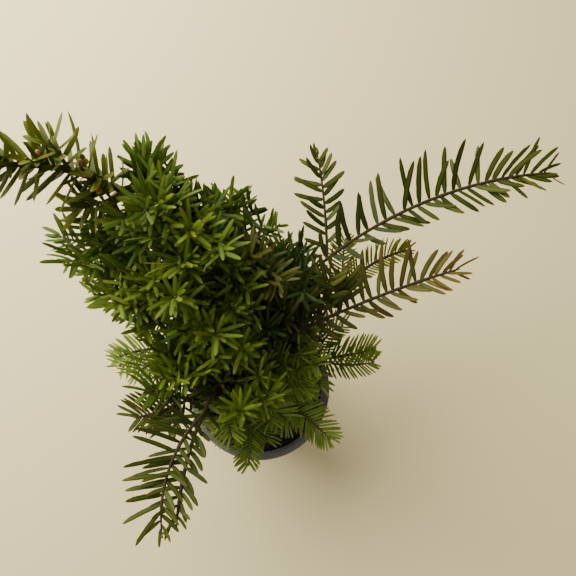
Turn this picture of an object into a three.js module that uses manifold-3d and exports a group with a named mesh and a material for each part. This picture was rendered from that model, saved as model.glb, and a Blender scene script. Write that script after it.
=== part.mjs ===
// A young English yew (Taxus baccata) standing in its round grey nursery pot.
//
// Millimetres, +Z up. The origin is the centre of the pot's flat underside, where it stands.
// The pot is filled with compost. One woody trunk leans back to the left as it rises, short
// boughs leave it all the way up, and each bough carries one mass of needled shoots.

import * as THREE from 'three';
import { mergeVertices } from 'three/addons/utils/BufferGeometryUtils.js';
import Module from 'manifold-3d';

const wasm = await Module();
wasm.setup();

// ---------------------------------------------------------------- driving dimensions

const POT = {
  rimDiameter: 130,
  height: 110,
  baseDiameter: 92,
  wall: 1.4,
  floor: 2,
  lipWidth: 5.2,
  lipHeight: 9,
  holes: 8,
  holeDiameter: 9,
  holeCircle: 66,
  sides: 36,
};

const COMPOST = {
  level: 98,
  headroom: 1.2,
  rings: [16, 34, 50],
  sides: 28,
};

// The gap that touching solids keep, and the shortest edge left where shoots are joined.
const CLEARANCE = 0.3;
const FINEST_EDGE = 0.02;

const TRUNK = {
  footRadius: 4.1,
  tipRadius: 1.9,
  flare: 2.6,
  flareHeight: 7,
  sides: 8,
  stepLength: 13,
};

const BOUGH = {
  rootRadius: 2.1,
  tipRadius: 1.45,
  sides: 6,
  stepLength: 11,
};

// A shoot's stem is three-sided: two edges lie to its sides and one on top.
const STEM = {
  rootRadius: 1.3,
  tipRadius: 0.7,
  corners: [-30, 90, 210],
  budLength: 6,
};

// One needle is a flat blade with shoulders past its middle. The needles of a shoot that rises
// less than combedBelow lie to both sides of it, lifted a little by turns; a steeper shoot is
// needled all round with broader, closer ones, twisted to face its tip. All of them spread less
// and get shorter towards the shoot's tip.
const NEEDLE = {
  length: 26,
  lengthSwing: 0.28,
  tipShortening: 0.35,
  width: 3.6,
  starWidening: 1.15,
  starTwist: 30,
  starPitch: 0.75,
  widthOfRoom: 0.66,
  shoulderAt: 0.55,
  bareFoot: 7,
  combedBelow: 48,
  lift: 12,
  liftSwing: 9,
  spreadAngle: 62,
  tipAngle: 26,
  angleSwing: 7,
  trims: [1, 0.85, 0.7, 0.55],
  shortest: 10,
  interleave: 12,
  apart: 0.9,
};

// A side twig: which shoots carry one, where the first stands and how far on the next, how it
// turns away and curls back, its length against its carrier's, and the room kept round it.
const TWIG = {
  shortestCarrier: 45,
  first: 0.3,
  every: 0.28,
  placeSwing: 0.06,
  turn: 52,
  curl: 20,
  riseSwing: 10,
  share: 0.42,
  shareSwing: 0.3,
  room: 4,
};

// How a limb or a shoot grows: it leaves its carrier at a place from 0 (foot) to 1 (tip), sets
// out at a heading (degrees, anticlockwise from +X seen from above) and a rise above level, and
// turns by a sweep (sideways) and an arch (upwards) over its length.
const grows = (at, heading, rise, sweep, arch, length) => ({ at, heading, rise, sweep, arch, length });

const TRUNK_COURSE = grows(0, 120, 70, 5, -35, 235);

const BOUGHS = {
  middle: grows(0.47, 110, 45, -20, 30, 48),
  back: grows(0.38, 95, 0, 5, 75, 90),
  back_low: grows(0.28, 80, -20, 15, 80, 95),
  olive: grows(0.34, 60, 5, 30, 85, 80),
  left: grows(0.43, 155, 10, 0, 50, 45),
  left_middle: grows(0.52, 150, 15, 5, 25, 46),
  right: grows(0.24, 55, 0, -10, 45, 105),
  right_inner: grows(0.3, 30, 10, 15, 25, 50),
  bronze: grows(0.16, 50, 30, -30, 25, 55),
  front: grows(0.31, 265, 40, -40, 15, 55),
  front_left: grows(0.25, 215, 10, 15, 60, 55),
  low_left: grows(0.18, 165, -30, -5, 75, 55),
  low_right: grows(0.13, 35, -5, 10, 30, 80),
  low_front: grows(0.1, 0, -15, 40, 50, 50),
  low_back: grows(0.15, 105, -25, -40, 80, 75),
  back_left: grows(0.33, 115, 15, 20, 10, 75),
};

// How far apart needles stand along a shoot.
const DENSE = 4.2;
const SPARSE = 5;

// Each mass: its name, what its first shoot meets (a bough's tip, or the trunk), how many side
// twigs each long shoot may carry, how far apart its needles stand, their length against the
// usual one, and its shoots. The first shoot meets the bough or the trunk, and the others
// branch from the first.
const MASSES = [
  ['leader', 'trunk', 0, DENSE, 1.25, [
    grows(1, 150, 25, 55, 0, 105),
    grows(0.1, 205, -20, -10, 35, 35),
    grows(0.42, 120, 70, 5, -25, 25),
  ]],
  ['leader_star', 'trunk', 0, DENSE, 1, [
    grows(0.93, 30, 60, -105, 20, 40),
    grows(0.25, 40, 30, -95, 30, 30),
    grows(0.45, 240, 80, 20, -30, 25),
  ]],
  ['upper_fan', 'trunk', 1, DENSE, 1, [
    grows(0.86, 85, 25, 25, 0, 56),
    grows(0.3, 115, 55, 0, -40, 40),
  ]],
  ['upper_back', 'trunk', 1, DENSE, 0.9, [
    grows(0.78, 65, 30, 20, 5, 45),
    grows(0.3, 50, 15, -20, 60, 30),
  ]],
  ['left_upper', 'trunk', 1, DENSE, 1, [
    grows(0.73, 170, 25, -10, -30, 90),
    grows(0.3, 130, 30, 10, -15, 40),
  ]],
  ['left_star', 'trunk', 0, DENSE, 0.9, [
    grows(0.65, 190, 30, -40, 80, 55),
  ]],
  ['crown_star', 'middle', 0, DENSE, 0.9, [
    grows(1, 60, 60, 115, 50, 50),
    grows(0.2, 5, 45, -60, 0, 35),
    grows(0.25, 230, 35, 50, 25, 35),
  ]],
  ['inner_star', 'trunk', 0, DENSE, 0.9, [
    grows(0.57, 245, 45, 85, 40, 45),
    grows(0.3, 225, 25, 10, 50, 25),
    grows(0.4, 315, 40, 10, 20, 35),
  ]],
  ['back_star', 'back', 0, DENSE, 0.9, [
    grows(1, 85, 50, 75, 55, 45),
    grows(0.2, 40, 10, 40, 20, 30),
    grows(0.2, 125, 45, 70, 35, 28),
  ]],
  ['back_flat', 'back_low', 1, DENSE, 0.8, [
    grows(1, 90, 20, 5, -15, 50),
    grows(0.2, 350, 25, 55, -15, 32),
  ]],
  ['olive_star', 'olive', 0, DENSE, 0.9, [
    grows(1, 95, 80, 15, 5, 40),
    grows(0.2, 325, 45, 0, -20, 32),
  ]],
  ['left_brown', 'left', 1, DENSE, 0.9, [
    grows(1, 175, 70, 5, -60, 65),
    grows(0.15, 240, 10, -5, 40, 30),
  ]],
  ['left_middle', 'left_middle', 1, DENSE, 0.9, [
    grows(1, 180, 30, -15, -25, 52),
  ]],
  ['inner_left', 'trunk', 0, DENSE, 0.9, [
    grows(0.4, 205, 25, 105, 45, 55),
  ]],
  ['right_fork', 'right', 0, SPARSE, 1.15, [
    grows(1, 35, 30, -30, -35, 200),
    grows(0.05, 90, 5, 10, 5, 90),
  ]],
  ['right_inner', 'right_inner', 0, DENSE, 0.9, [
    grows(1, 70, 30, -65, 55, 40),
    grows(0.1, 95, 20, -40, -15, 55),
  ]],
  ['bronze', 'bronze', 0, SPARSE, 1.1, [
    grows(1, 25, 20, -10, -10, 145),
    grows(0.12, 165, 25, -15, 60, 45),
    grows(0.18, 85, 35, -20, -10, 42),
  ]],
  ['inner_front', 'trunk', 0, DENSE, 0.9, [
    grows(0.4, 320, 60, -5, 20, 55),
    grows(0.3, 225, 40, 0, 30, 30),
  ]],
  ['front', 'front', 0, SPARSE, 1.15, [
    grows(1, 250, 50, 20, -35, 100),
    grows(0.22, 230, 50, 50, -45, 90),
  ]],
  ['front_left', 'front_left', 1, DENSE, 0.9, [
    grows(1, 215, 30, -25, -20, 50),
    grows(0.15, 140, 45, 60, -25, 38),
  ]],
  ['front_star', 'trunk', 0, DENSE, 0.9, [
    grows(0.215, 275, 35, -10, 60, 85),
  ]],
  ['low_left', 'low_left', 1, DENSE, 0.8, [
    grows(1, 170, 10, 30, -35, 70),
    grows(0.15, 265, 0, -85, -25, 42),
  ]],
  ['low_right_far', 'low_right', 1, DENSE, 0.7, [
    grows(1, 60, 15, -45, -30, 105),
  ]],
  ['low_right', 'low_front', 0, DENSE, 0.75, [
    grows(1, 5, 5, 10, -15, 60),
    grows(0.1, 340, 30, 35, -60, 55),
    grows(0.14, 100, 65, -80, -65, 45),
  ]],
  ['rim_right', 'trunk', 0, DENSE, 0.95, [
    grows(0.07, 330, 35, -15, -70, 85),
  ]],
  ['rim_front', 'trunk', 0, DENSE, 0.8, [
    grows(0.05, 265, 50, 0, -90, 75),
  ]],
  ['rim_left', 'trunk', 0, DENSE, 0.8, [
    grows(0.12, 225, 45, 10, -75, 55),
  ]],
  ['rim_middle', 'trunk', 0, DENSE, 0.8, [
    grows(0.12, 300, 35, 20, -70, 55),
  ]],
  ['low_front', 'trunk', 0, DENSE, 0.85, [
    grows(0.14, 335, 15, 25, 5, 50),
  ]],
  ['low_back', 'low_back', 0, DENSE, 0.8, [
    grows(1, 120, 20, -5, -15, 70),
    grows(0.1, 25, 10, 55, -10, 50),
  ]],
  ['back_left', 'back_left', 1, DENSE, 0.9, [
    grows(1, 155, 10, 0, -5, 60),
  ]],
  ['upper_star', 'trunk', 0, DENSE, 1, [
    grows(0.83, 70, 35, 60, 125, 55),
    grows(0.25, 0, 35, -60, 10, 30),
    grows(0.4, 255, 20, 15, 50, 30),
  ]],
  ['upper_left', 'trunk', 0, DENSE, 0.9, [
    grows(0.82, 165, 10, -90, 120, 55),
  ]],
  ['middle_star', 'trunk', 0, DENSE, 0.9, [
    grows(0.61, 155, 70, 180, 0, 60),
    grows(0.25, 145, 25, 120, 45, 40),
    grows(0.3, 130, 70, -150, -15, 30),
  ]],
  ['back_middle', 'trunk', 0, DENSE, 0.9, [
    grows(0.62, 25, 35, 0, 45, 55),
    grows(0.3, 10, 40, -55, 0, 35),
  ]],
  ['centre', 'trunk', 0, DENSE, 0.9, [
    grows(0.5, 45, 65, -115, 10, 55),
    grows(0.3, 340, 35, 35, 15, 35),
    grows(0.45, 155, 65, 0, 10, 30),
  ]],
  ['centre_right', 'trunk', 0, DENSE, 0.9, [
    grows(0.3, 70, 45, -135, 30, 65),
    grows(0.3, 30, 30, -40, 15, 45),
  ]],
  ['low_inner', 'trunk', 0, DENSE, 0.9, [
    grows(0.2, 20, 15, 0, 10, 60),
    grows(0.3, 5, 5, -30, 30, 45),
    grows(0.6, 60, 30, -10, 0, 32),
  ]],
  ['centre_front', 'trunk', 0, DENSE, 0.9, [
    grows(0.27, 335, 40, -65, 45, 50),
    grows(0.3, 350, 0, 20, 70, 35),
  ]],
  ['rim_inner', 'trunk', 0, DENSE, 0.9, [
    grows(0.17, 205, 25, 30, 30, 55),
    grows(0.3, 245, 15, 20, 25, 35),
  ]],
];

// ---------------------------------------------------------------- small helpers

const radians = THREE.MathUtils.degToRad;
const lerp = THREE.MathUtils.lerp;

// A repeatable stream of random numbers from 0 to 1.
function seededRandom(seed) {
  let state = seed * 7919 + 17;
  return () => {
    state = (state * 1103515245 + 12345) % 2147483648;
    return state / 2147483648;
  };
}

// A closed geometry made a solid, with its faces pointing out.
function toSolid(geometry) {
  const bare = geometry.clone();
  bare.deleteAttribute('normal');
  bare.deleteAttribute('uv');
  const merged = mergeVertices(bare, 1e-4);
  const triVerts = new Uint32Array(merged.index.array);
  const vertProperties = new Float32Array(merged.attributes.position.array);
  const solid = new wasm.Manifold(new wasm.Mesh({ numProp: 3, vertProperties, triVerts }));
  if (solid.volume() > 0) {
    return solid;
  }
  for (let i = 0; i < triVerts.length; i += 3) {
    [triVerts[i], triVerts[i + 1]] = [triVerts[i + 1], triVerts[i]];
  }
  return new wasm.Manifold(new wasm.Mesh({ numProp: 3, vertProperties, triVerts }));
}

// The largest body of a solid: loose scraps and sealed hollows are left behind.
function mainBody(solid) {
  const bodies = solid.decompose();
  return bodies.reduce((best, body) => (body.volume() > best.volume() ? body : best));
}

function toGeometry(solid) {
  const { vertProperties, triVerts } = solid.getMesh();
  const geometry = new THREE.BufferGeometry();
  geometry.setAttribute('position', new THREE.BufferAttribute(new Float32Array(vertProperties), 3));
  geometry.setIndex(new THREE.BufferAttribute(new Uint32Array(triVerts), 1));
  geometry.computeVertexNormals();
  return geometry;
}

// The course of a trunk, bough or shoot, with its tangent and its level and upper side at any
// place. The level side stays horizontal, so flat sprays can be laid out on it.
class Course extends THREE.Curve {
  constructor(foot, growth) {
    super();
    Object.assign(this, growth);
    const parts = 24;
    this.points = [foot.clone()];
    for (let i = 0; i < parts; i += 1) {
      const { along } = this.frame((i + 0.5) / parts);
      this.points.push(this.points[i].clone().addScaledVector(along, this.length / parts));
    }
  }

  getPoint(t) {
    const place = Math.min(Math.max(t, 0), 1) * (this.points.length - 1);
    const i = Math.min(Math.floor(place), this.points.length - 2);
    return this.points[i].clone().lerp(this.points[i + 1], place - i);
  }

  frame(t) {
    const heading = radians(this.heading + this.sweep * t);
    const rise = radians(this.rise + this.arch * t);
    const along = new THREE.Vector3(
      Math.cos(rise) * Math.cos(heading),
      Math.cos(rise) * Math.sin(heading),
      Math.sin(rise),
    );
    const side = new THREE.Vector3(-Math.sin(heading), Math.cos(heading), 0);
    return { along, side, upper: along.clone().cross(side) };
  }

  distanceTo(point) {
    const nearest = new THREE.Vector3();
    const piece = new THREE.Line3();
    let least = Infinity;
    for (let i = 0; i + 2 < this.points.length; i += 2) {
      piece.set(this.points[i], this.points[i + 2]).closestPointToPoint(point, true, nearest);
      least = Math.min(least, nearest.distanceTo(point));
    }
    return least;
  }
}

// A cylinder bent along a course, with a radius for each place along it and flat ends. Its foot
// is cut square to the course, or level where it stands on the compost.
function bentCylinder(course, radiusAt, sides, stepLength, levelFoot = false) {
  const steps = Math.max(2, Math.round(course.length / stepLength));
  const geometry = new THREE.CylinderGeometry(1, 1, 1, sides, steps);
  const position = geometry.attributes.position;
  for (let i = 0; i < position.count; i += 1) {
    const t = position.getY(i) + 0.5;
    const { side, upper } = course.frame(t);
    const radius = radiusAt(t);
    const point = course.getPoint(t);
    point.addScaledVector(side, position.getX(i) * radius);
    point.addScaledVector(upper, -position.getZ(i) * radius);
    const z = levelFoot && t < 1e-6 ? course.points[0].z : point.z;
    position.setXYZ(i, point.x, point.y, z);
  }
  return geometry;
}

// Where a new limb of a given radius starts on its carrier, just clear of it.
function seatOn(carrier, growth, radius) {
  const carrierFrame = carrier.frame(growth.at);
  const { along } = new Course(new THREE.Vector3(), growth).frame(0);
  const across = Math.abs(along.dot(carrierFrame.along));
  const lean = Math.sqrt(1 - across * across);
  const seat = carrier.getPoint(growth.at);
  if (growth.at === 1) {
    return seat.addScaledVector(carrierFrame.along, CLEARANCE + radius * lean);
  }
  const reach = (carrier.radiusAt(growth.at) + CLEARANCE + radius * across) / lean;
  return seat.addScaledVector(along, reach);
}

// ---------------------------------------------------------------- pot and compost

const potWall = (z) => {
  const top = POT.rimDiameter / 2 - POT.lipWidth + POT.wall;
  return lerp(POT.baseDiameter / 2, top, z / POT.height);
};

// The wall runs up and turns outwards and down into a hollow lip.
function makePot() {
  const rim = POT.rimDiameter / 2;
  const { height, wall, floor, lipHeight } = POT;
  const lipFoot = height - lipHeight;
  const outline = [
    [0, 0],
    [potWall(0) - 1, 0],
    [potWall(1), 1],
    [potWall(lipFoot), lipFoot],
    [potWall(height - wall), height - wall],
    [rim - wall, height - wall - 0.4],
    [rim - wall, lipFoot],
    [rim, lipFoot],
    [rim, height - 1.6],
    [rim - 0.5, height - 0.5],
    [rim - 1.6, height],
    [rim - POT.lipWidth + 1, height],
    [rim - POT.lipWidth, height - 0.8],
    [potWall(floor) - wall, floor],
    [0, floor],
  ].map(([x, y]) => new THREE.Vector2(x, y));
  const shell = new THREE.LatheGeometry(outline, POT.sides);
  shell.rotateX(Math.PI / 2);
  let solid = toSolid(shell);
  for (let i = 0; i < POT.holes; i += 1) {
    const angle = (2 * Math.PI * i) / POT.holes;
    const hole = new THREE.CylinderGeometry(POT.holeDiameter / 2, POT.holeDiameter / 2, 3 * floor, 12);
    hole.rotateX(Math.PI / 2);
    hole.translate(Math.cos(angle) * POT.holeCircle / 2, Math.sin(angle) * POT.holeCircle / 2, 0);
    solid = solid.subtract(toSolid(hole));
  }
  return toGeometry(solid);
}

// The compost fills the pot to a little below the rim. It is level under the trunk and
// lumpy further out.
function makeCompost() {
  const gap = CLEARANCE + POT.wall;
  const foot = POT.floor + CLEARANCE;
  const { level, headroom, rings, sides } = COMPOST;
  const outline = [
    [0, foot],
    [potWall(foot) - gap, foot],
    [potWall(level - headroom) - gap, level - headroom],
    ...rings.toReversed().map((radius) => [radius, level]),
    [0, level],
  ].map(([x, y]) => new THREE.Vector2(x, y));
  const random = seededRandom(5);
  const lump = Array.from({ length: rings.length * sides }, () => (random() - 0.55) * 2.4);
  const geometry = new THREE.LatheGeometry(outline, sides);
  const position = geometry.attributes.position;
  for (let i = 0; i < position.count; i += 1) {
    const radius = Math.hypot(position.getX(i), position.getZ(i));
    const ring = rings.findIndex((size) => Math.abs(size - radius) < 0.01);
    if (ring > 0 && position.getY(i) > level - 0.01) {
      const turn = Math.atan2(position.getX(i), position.getZ(i)) / (2 * Math.PI);
      const spoke = Math.round((turn + 1) * sides) % sides;
      position.setY(i, level + lump[ring * sides + spoke]);
    }
  }
  geometry.rotateX(Math.PI / 2);
  return toGeometry(toSolid(geometry));
}

// ---------------------------------------------------------------- trunk and boughs

// The trunk thins steadily and flares into its roots over the last few millimetres.
function makeTrunk() {
  const foot = new THREE.Vector3(0, 0, COMPOST.level + CLEARANCE);
  const trunk = new Course(foot, TRUNK_COURSE);
  trunk.radiusAt = (t) => {
    const flare = TRUNK.flare * Math.exp((-t * trunk.length) / TRUNK.flareHeight);
    return lerp(TRUNK.footRadius, TRUNK.tipRadius, t) + flare;
  };
  const geometry = bentCylinder(trunk, trunk.radiusAt, TRUNK.sides, TRUNK.stepLength, true);
  trunk.geometry = toGeometry(toSolid(geometry));
  return trunk;
}

function makeBough(trunk, growth) {
  const bough = new Course(seatOn(trunk, growth, BOUGH.rootRadius), growth);
  bough.radiusAt = (t) => lerp(BOUGH.rootRadius, BOUGH.tipRadius, t);
  bough.geometry = toGeometry(
    toSolid(bentCylinder(bough, bough.radiusAt, BOUGH.sides, BOUGH.stepLength)),
  );
  return bough;
}

// ---------------------------------------------------------------- shoots and needles

// The shoots of one mass: the first on its bough or the trunk, the others on the first.
function growShoots([name, carrierName, twigs, pitch, needleScale, growths], limbs) {
  const carrier = limbs[carrierName];
  const main = new Course(seatOn(carrier, growths[0], STEM.rootRadius), growths[0]);
  const branches = growths.slice(1).map((growth) => new Course(main.getPoint(growth.at), growth));
  return { name, twigs, pitch, needleScale, shoots: [main, ...branches], blades: [] };
}

// The rods that stand for a limb or a shoot when needles are laid past it, from its foot to a
// little past its tip.
function rodsOf(course, owner, radius) {
  const { along } = course.frame(1);
  const bud = course.getPoint(1).addScaledVector(along, STEM.budLength);
  const stations = [...course.points.filter((_, i) => i % 2 === 0), bud];
  return stations.slice(1).map((end, i) => ({ line: new THREE.Line3(stations[i], end), radius, owner }));
}

const gap = (rod, other) => (
  Math.sqrt(rod.line.distanceSqToLine3(other.line)) - rod.radius - other.radius);

// True where a rod keeps clear of everything of other owners that already stands.
const standsClear = (rod, standing) => (
  standing.every((other) => other.owner === rod.owner || gap(rod, other) > NEEDLE.apart));

const nearest = (courses, point) => Math.min(...courses.map((course) => course.distanceTo(point)));

// True where a point lies in a mass's space, which ends half-way to the next mass's shoots.
// Needles may pass that border a little, so neighbours interleave.
function inSpace(point, mass, masses) {
  const own = nearest(mass.shoots, point) - NEEDLE.interleave;
  return masses.every((other) => other === mass || nearest(other.shoots, point) > own);
}

// Side twigs leave the long shoots by turns to the left and the right. One that would leave the
// mass's space or touch something is left out.
function growTwigs(mass, masses, standing, random) {
  mass.shoots.filter((shoot) => shoot.length > TWIG.shortestCarrier).forEach((shoot) => {
    for (let i = 0; i < mass.twigs; i += 1) {
      const at = TWIG.first + TWIG.every * i + TWIG.placeSwing * random();
      const hand = i % 2 === 0 ? 1 : -1;
      const heading = shoot.heading + shoot.sweep * at + hand * TWIG.turn;
      const rise = shoot.rise + shoot.arch * at + TWIG.riseSwing * (random() - 0.3);
      const length = shoot.length * TWIG.share * (0.9 + TWIG.shareSwing * random());
      const twig = new Course(shoot.getPoint(at), grows(at, heading, rise, -hand * TWIG.curl, 0, length));
      const rods = rodsOf(twig, mass, STEM.rootRadius + TWIG.room);
      const inside = [0.3, 0.6, 1].every((t) => inSpace(twig.getPoint(t), mass, masses));
      if (inside && rods.every((rod) => standsClear(rod, standing))) {
        mass.shoots.push(twig);
        standing.push(...rodsOf(twig, mass, STEM.rootRadius));
      }
    }
  });
}

// The needles of one shoot, one for each step along it. They leave a level shoot by turns to the
// left and the right, and a steep one by turns from its three edges.
function layNeedles(shoot, mass, random) {
  const swing = (range) => range * (random() - 0.5);
  const steep = Math.abs(shoot.frame(0.5).along.z) > Math.sin(radians(NEEDLE.combedBelow));
  const edges = steep ? [0, 1, 2] : [0, 2];
  const bare = Math.min(NEEDLE.bareFoot / shoot.length, 0.2);
  const pitch = mass.pitch * (steep ? NEEDLE.starPitch : 1);
  const count = Math.max(3, Math.round((shoot.length * (1 - bare)) / pitch));
  const step = (1 - bare) / count;
  return Array.from({ length: count }, (_, i) => {
    const start = bare + step * i;
    const t = start + step / 2;
    const edge = edges[i % edges.length];
    const { along, side, upper } = shoot.frame(t);
    const lift = (i % 4 < 2 ? 1 : -1) * NEEDLE.liftSwing + swing(NEEDLE.angleSwing);
    const roll = radians([NEEDLE.lift + lift, 90 + lift, 180 - NEEDLE.lift - lift][edge]);
    const out = side.clone().multiplyScalar(Math.cos(roll)).addScaledVector(upper, Math.sin(roll));
    const spread = radians(lerp(NEEDLE.spreadAngle, NEEDLE.tipAngle, t ** 3) + swing(NEEDLE.angleSwing));
    const direction = out.clone().multiplyScalar(Math.sin(spread)).addScaledVector(along, Math.cos(spread));
    const across = along.clone().addScaledVector(direction, -along.dot(direction)).normalize();
    across.applyAxisAngle(direction, steep ? radians(NEEDLE.starTwist) : 0);
    const usual = NEEDLE.length * mass.needleScale * (1 - NEEDLE.tipShortening * t ** 4);
    const length = usual * (1 + swing(NEEDLE.lengthSwing));
    const room = edges.length * step * shoot.length * Math.sin(spread);
    const widest = NEEDLE.width * (steep ? NEEDLE.starWidening : 1);
    const width = Math.min(widest, NEEDLE.widthOfRoom * room);
    const root = shoot.getPoint(t).addScaledVector(out, STEM.rootRadius / 2);
    return { start, end: start + step, edge, root, direction, across, length, width };
  });
}

// A needle that would leave its mass's space or touch anything is shortened, and then skipped.
function trimNeedle(needle, mass, masses, standing) {
  for (const share of NEEDLE.trims) {
    const length = needle.length * share;
    const tip = needle.root.clone().addScaledVector(needle.direction, length);
    const middle = needle.root.clone().lerp(tip, 0.4);
    const rod = { line: new THREE.Line3(needle.root, tip), radius: needle.width / 2, owner: mass };
    const outerPart = { ...rod, line: new THREE.Line3(middle, tip) };
    const fits = length > NEEDLE.shortest
      && inSpace(tip, mass, masses)
      && standsClear(rod, standing)
      && mass.blades.every((blade) => gap(outerPart, blade) > -NEEDLE.width / 4);
    if (fits) {
      mass.blades.push(outerPart);
      standing.push(rod);
      return { ...needle, length };
    }
  }
  return null;
}

// One shoot: a three-sided twig that ends in a point. Each needle is a blade pulled out of one
// of its edges, with two shoulders and a tip, so its root is part of the twig.
function needledShoot(shoot, needles) {
  const vertices = [];
  const faces = [];
  const add = (point) => vertices.push(point) - 1;
  const ring = (t) => {
    const { side, upper } = shoot.frame(t);
    const radius = lerp(STEM.rootRadius, STEM.tipRadius, t);
    return STEM.corners.map((degrees) => {
      const point = shoot.getPoint(t).addScaledVector(side, radius * Math.cos(radians(degrees)));
      return add(point.addScaledVector(upper, radius * Math.sin(radians(degrees))));
    });
  };
  const panel = (rear, front, k, blade) => {
    const [a, b, c, d] = [rear[k], rear[(k + 1) % 3], front[(k + 1) % 3], front[k]];
    if (blade && blade.edge === k) {
      const { rearShoulder: r, tip: p, frontShoulder: f } = blade;
      faces.push([a, b, r], [b, p, r], [b, f, p], [b, d, f], [b, c, d]);
    } else if (blade && blade.edge === (k + 1) % 3) {
      const { rearShoulder: r, tip: p, frontShoulder: f } = blade;
      faces.push([a, b, r], [a, r, p], [a, p, f], [a, f, c], [a, c, d]);
    } else {
      faces.push([a, b, c], [a, c, d]);
    }
  };
  const bridge = (rear, front, blade) => [0, 1, 2].forEach((k) => panel(rear, front, k, blade));

  let rear = ring(0);
  let reached = 0;
  faces.push([rear[0], rear[2], rear[1]]);
  const advance = (t, blade) => {
    const front = ring(t);
    bridge(rear, front, blade);
    rear = front;
    reached = t;
  };
  needles.forEach(({ start, end, edge, root, direction, across, length, width }) => {
    if (start > reached + 1e-6) {
      advance(start);
    }
    const shoulder = root.clone().addScaledVector(direction, length * NEEDLE.shoulderAt);
    advance(end, {
      edge,
      rearShoulder: add(shoulder.clone().addScaledVector(across, -width / 2)),
      frontShoulder: add(shoulder.clone().addScaledVector(across, width / 2)),
      tip: add(root.clone().addScaledVector(direction, length)),
    });
  });
  if (reached < 1 - 1e-6) {
    advance(1);
  }
  const bud = add(shoot.getPoint(1).addScaledVector(shoot.frame(1).along, STEM.budLength));
  [0, 1, 2].forEach((k) => faces.push([rear[k], rear[(k + 1) % 3], bud]));
  const geometry = new THREE.BufferGeometry().setFromPoints(vertices);
  geometry.setIndex(faces.flat());
  return geometry;
}

function makeMass(mass, masses, standing, random) {
  const sprays = mass.shoots.map((shoot) => {
    const needles = layNeedles(shoot, mass, random)
      .map((needle) => trimNeedle(needle, mass, masses, standing))
      .filter((needle) => needle !== null);
    return toSolid(needledShoot(shoot, needles));
  });
  const joined = sprays.reduce((all, spray) => all.add(spray));
  return toGeometry(mainBody(joined.simplify(FINEST_EDGE)));
}

// ---------------------------------------------------------------- assembly

const finish = (color, roughness) => new THREE.MeshStandardMaterial({ color, roughness, metalness: 0 });

const yew = new THREE.Group();

function place(name, geometry, material) {
  const mesh = new THREE.Mesh(geometry, material);
  mesh.name = name;
  yew.add(mesh);
}

place('pot', makePot(), finish(0x56524f, 0.55));
place('compost', makeCompost(), finish(0x17120e, 0.95));

const trunk = makeTrunk();
place('trunk', trunk.geometry, finish(0x4a3d2e, 0.85));

const limbs = { trunk };
Object.entries(BOUGHS).forEach(([name, growth]) => {
  limbs[name] = makeBough(trunk, growth);
  place(`bough_${name}`, limbs[name].geometry, finish(0x54452f, 0.85));
});

const random = seededRandom(11);
const masses = MASSES.map((row) => growShoots(row, limbs));
const standing = Object.values(limbs).flatMap((limb) => rodsOf(limb, limb, limb.radiusAt(0)));
masses.forEach((mass) => {
  standing.push(...mass.shoots.flatMap((shoot) => rodsOf(shoot, mass, STEM.rootRadius)));
});
masses.forEach((mass) => growTwigs(mass, masses, standing, random));
masses.forEach((mass) => {
  place(`needles_${mass.name}`, makeMass(mass, masses, standing, random), finish(0x4a5c14, 0.6));
});

export default yew;
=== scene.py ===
# A young English yew (Taxus baccata) standing in its round grey nursery pot.
#
# Lengths are millimetres until a mesh is made; the lamps' are metres. The pot's flat underside
# stands on z = 0.

import math

import bpy
import numpy as np
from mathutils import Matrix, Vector


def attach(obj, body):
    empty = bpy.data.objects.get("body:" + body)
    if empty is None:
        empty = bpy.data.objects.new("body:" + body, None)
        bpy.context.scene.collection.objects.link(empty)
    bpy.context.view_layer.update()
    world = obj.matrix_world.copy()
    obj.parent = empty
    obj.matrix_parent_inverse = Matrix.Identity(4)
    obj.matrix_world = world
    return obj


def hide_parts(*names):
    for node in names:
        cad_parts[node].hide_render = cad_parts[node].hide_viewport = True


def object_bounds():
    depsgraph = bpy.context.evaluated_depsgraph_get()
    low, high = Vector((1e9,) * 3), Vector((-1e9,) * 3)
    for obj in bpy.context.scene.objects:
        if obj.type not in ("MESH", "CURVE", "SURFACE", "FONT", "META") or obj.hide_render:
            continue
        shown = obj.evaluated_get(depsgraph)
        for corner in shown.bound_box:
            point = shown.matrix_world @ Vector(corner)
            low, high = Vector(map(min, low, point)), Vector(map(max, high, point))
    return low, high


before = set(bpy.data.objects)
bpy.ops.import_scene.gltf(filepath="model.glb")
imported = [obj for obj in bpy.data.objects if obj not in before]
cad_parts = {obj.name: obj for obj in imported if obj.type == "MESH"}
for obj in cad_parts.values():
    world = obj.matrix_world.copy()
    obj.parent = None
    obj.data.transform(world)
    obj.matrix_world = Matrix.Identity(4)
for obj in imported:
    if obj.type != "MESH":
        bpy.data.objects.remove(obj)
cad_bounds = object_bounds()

# ---------------------------------------------------------------- pot
# The pot is one thin shell of grey polypropylene, injection moulded with a rolled hollow lip
# and eight drainage holes in its floor. It stands on its flat underside.

MM = 0.001
POT_SIDES = 144
POT_RIM = 65.0
POT_FOOT = 46.0
POT_HEIGHT = 110.0
POT_WALL = 1.4
POT_FLOOR = 2.0
FOOT_ROUND = 1.4
FLOOR_ROUND = 2.0
PANEL_FOOT = 10.0
PANEL_TOP = 90.0
PANEL_DEPTH = 0.25
PANEL_STEP = 0.4
PANEL_RINGS = (40, 70)
INSIDE_RINGS = (80, 40)
LIP_WIDTH = 5.2
LIP_HEIGHT = 9.0
LIP_ROUND = 1.9
LIP_EDGE = 0.4
BROW_ROUND = 1.2
HOLLOW_TOP = 3.0
HOLLOW_ROUND = 1.0
HOLLOW_RISE = 0.2
HOLLOW_SHOULDER = 2.6
LIP_FOOT_STEP = 0.3
HUB = 14.0
HOLES = 8
HOLE_RADIUS = 4.5
HOLE_CIRCLE = 33.0
HOLE_MARGIN = 8.0
HOLE_SIDES = 24
PUNCH_FOOT = -4.0
PUNCH_TOP = 6.0
POT_CREASE = 38
POT_GREY = (0.088, 0.084, 0.08, 1)
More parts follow.
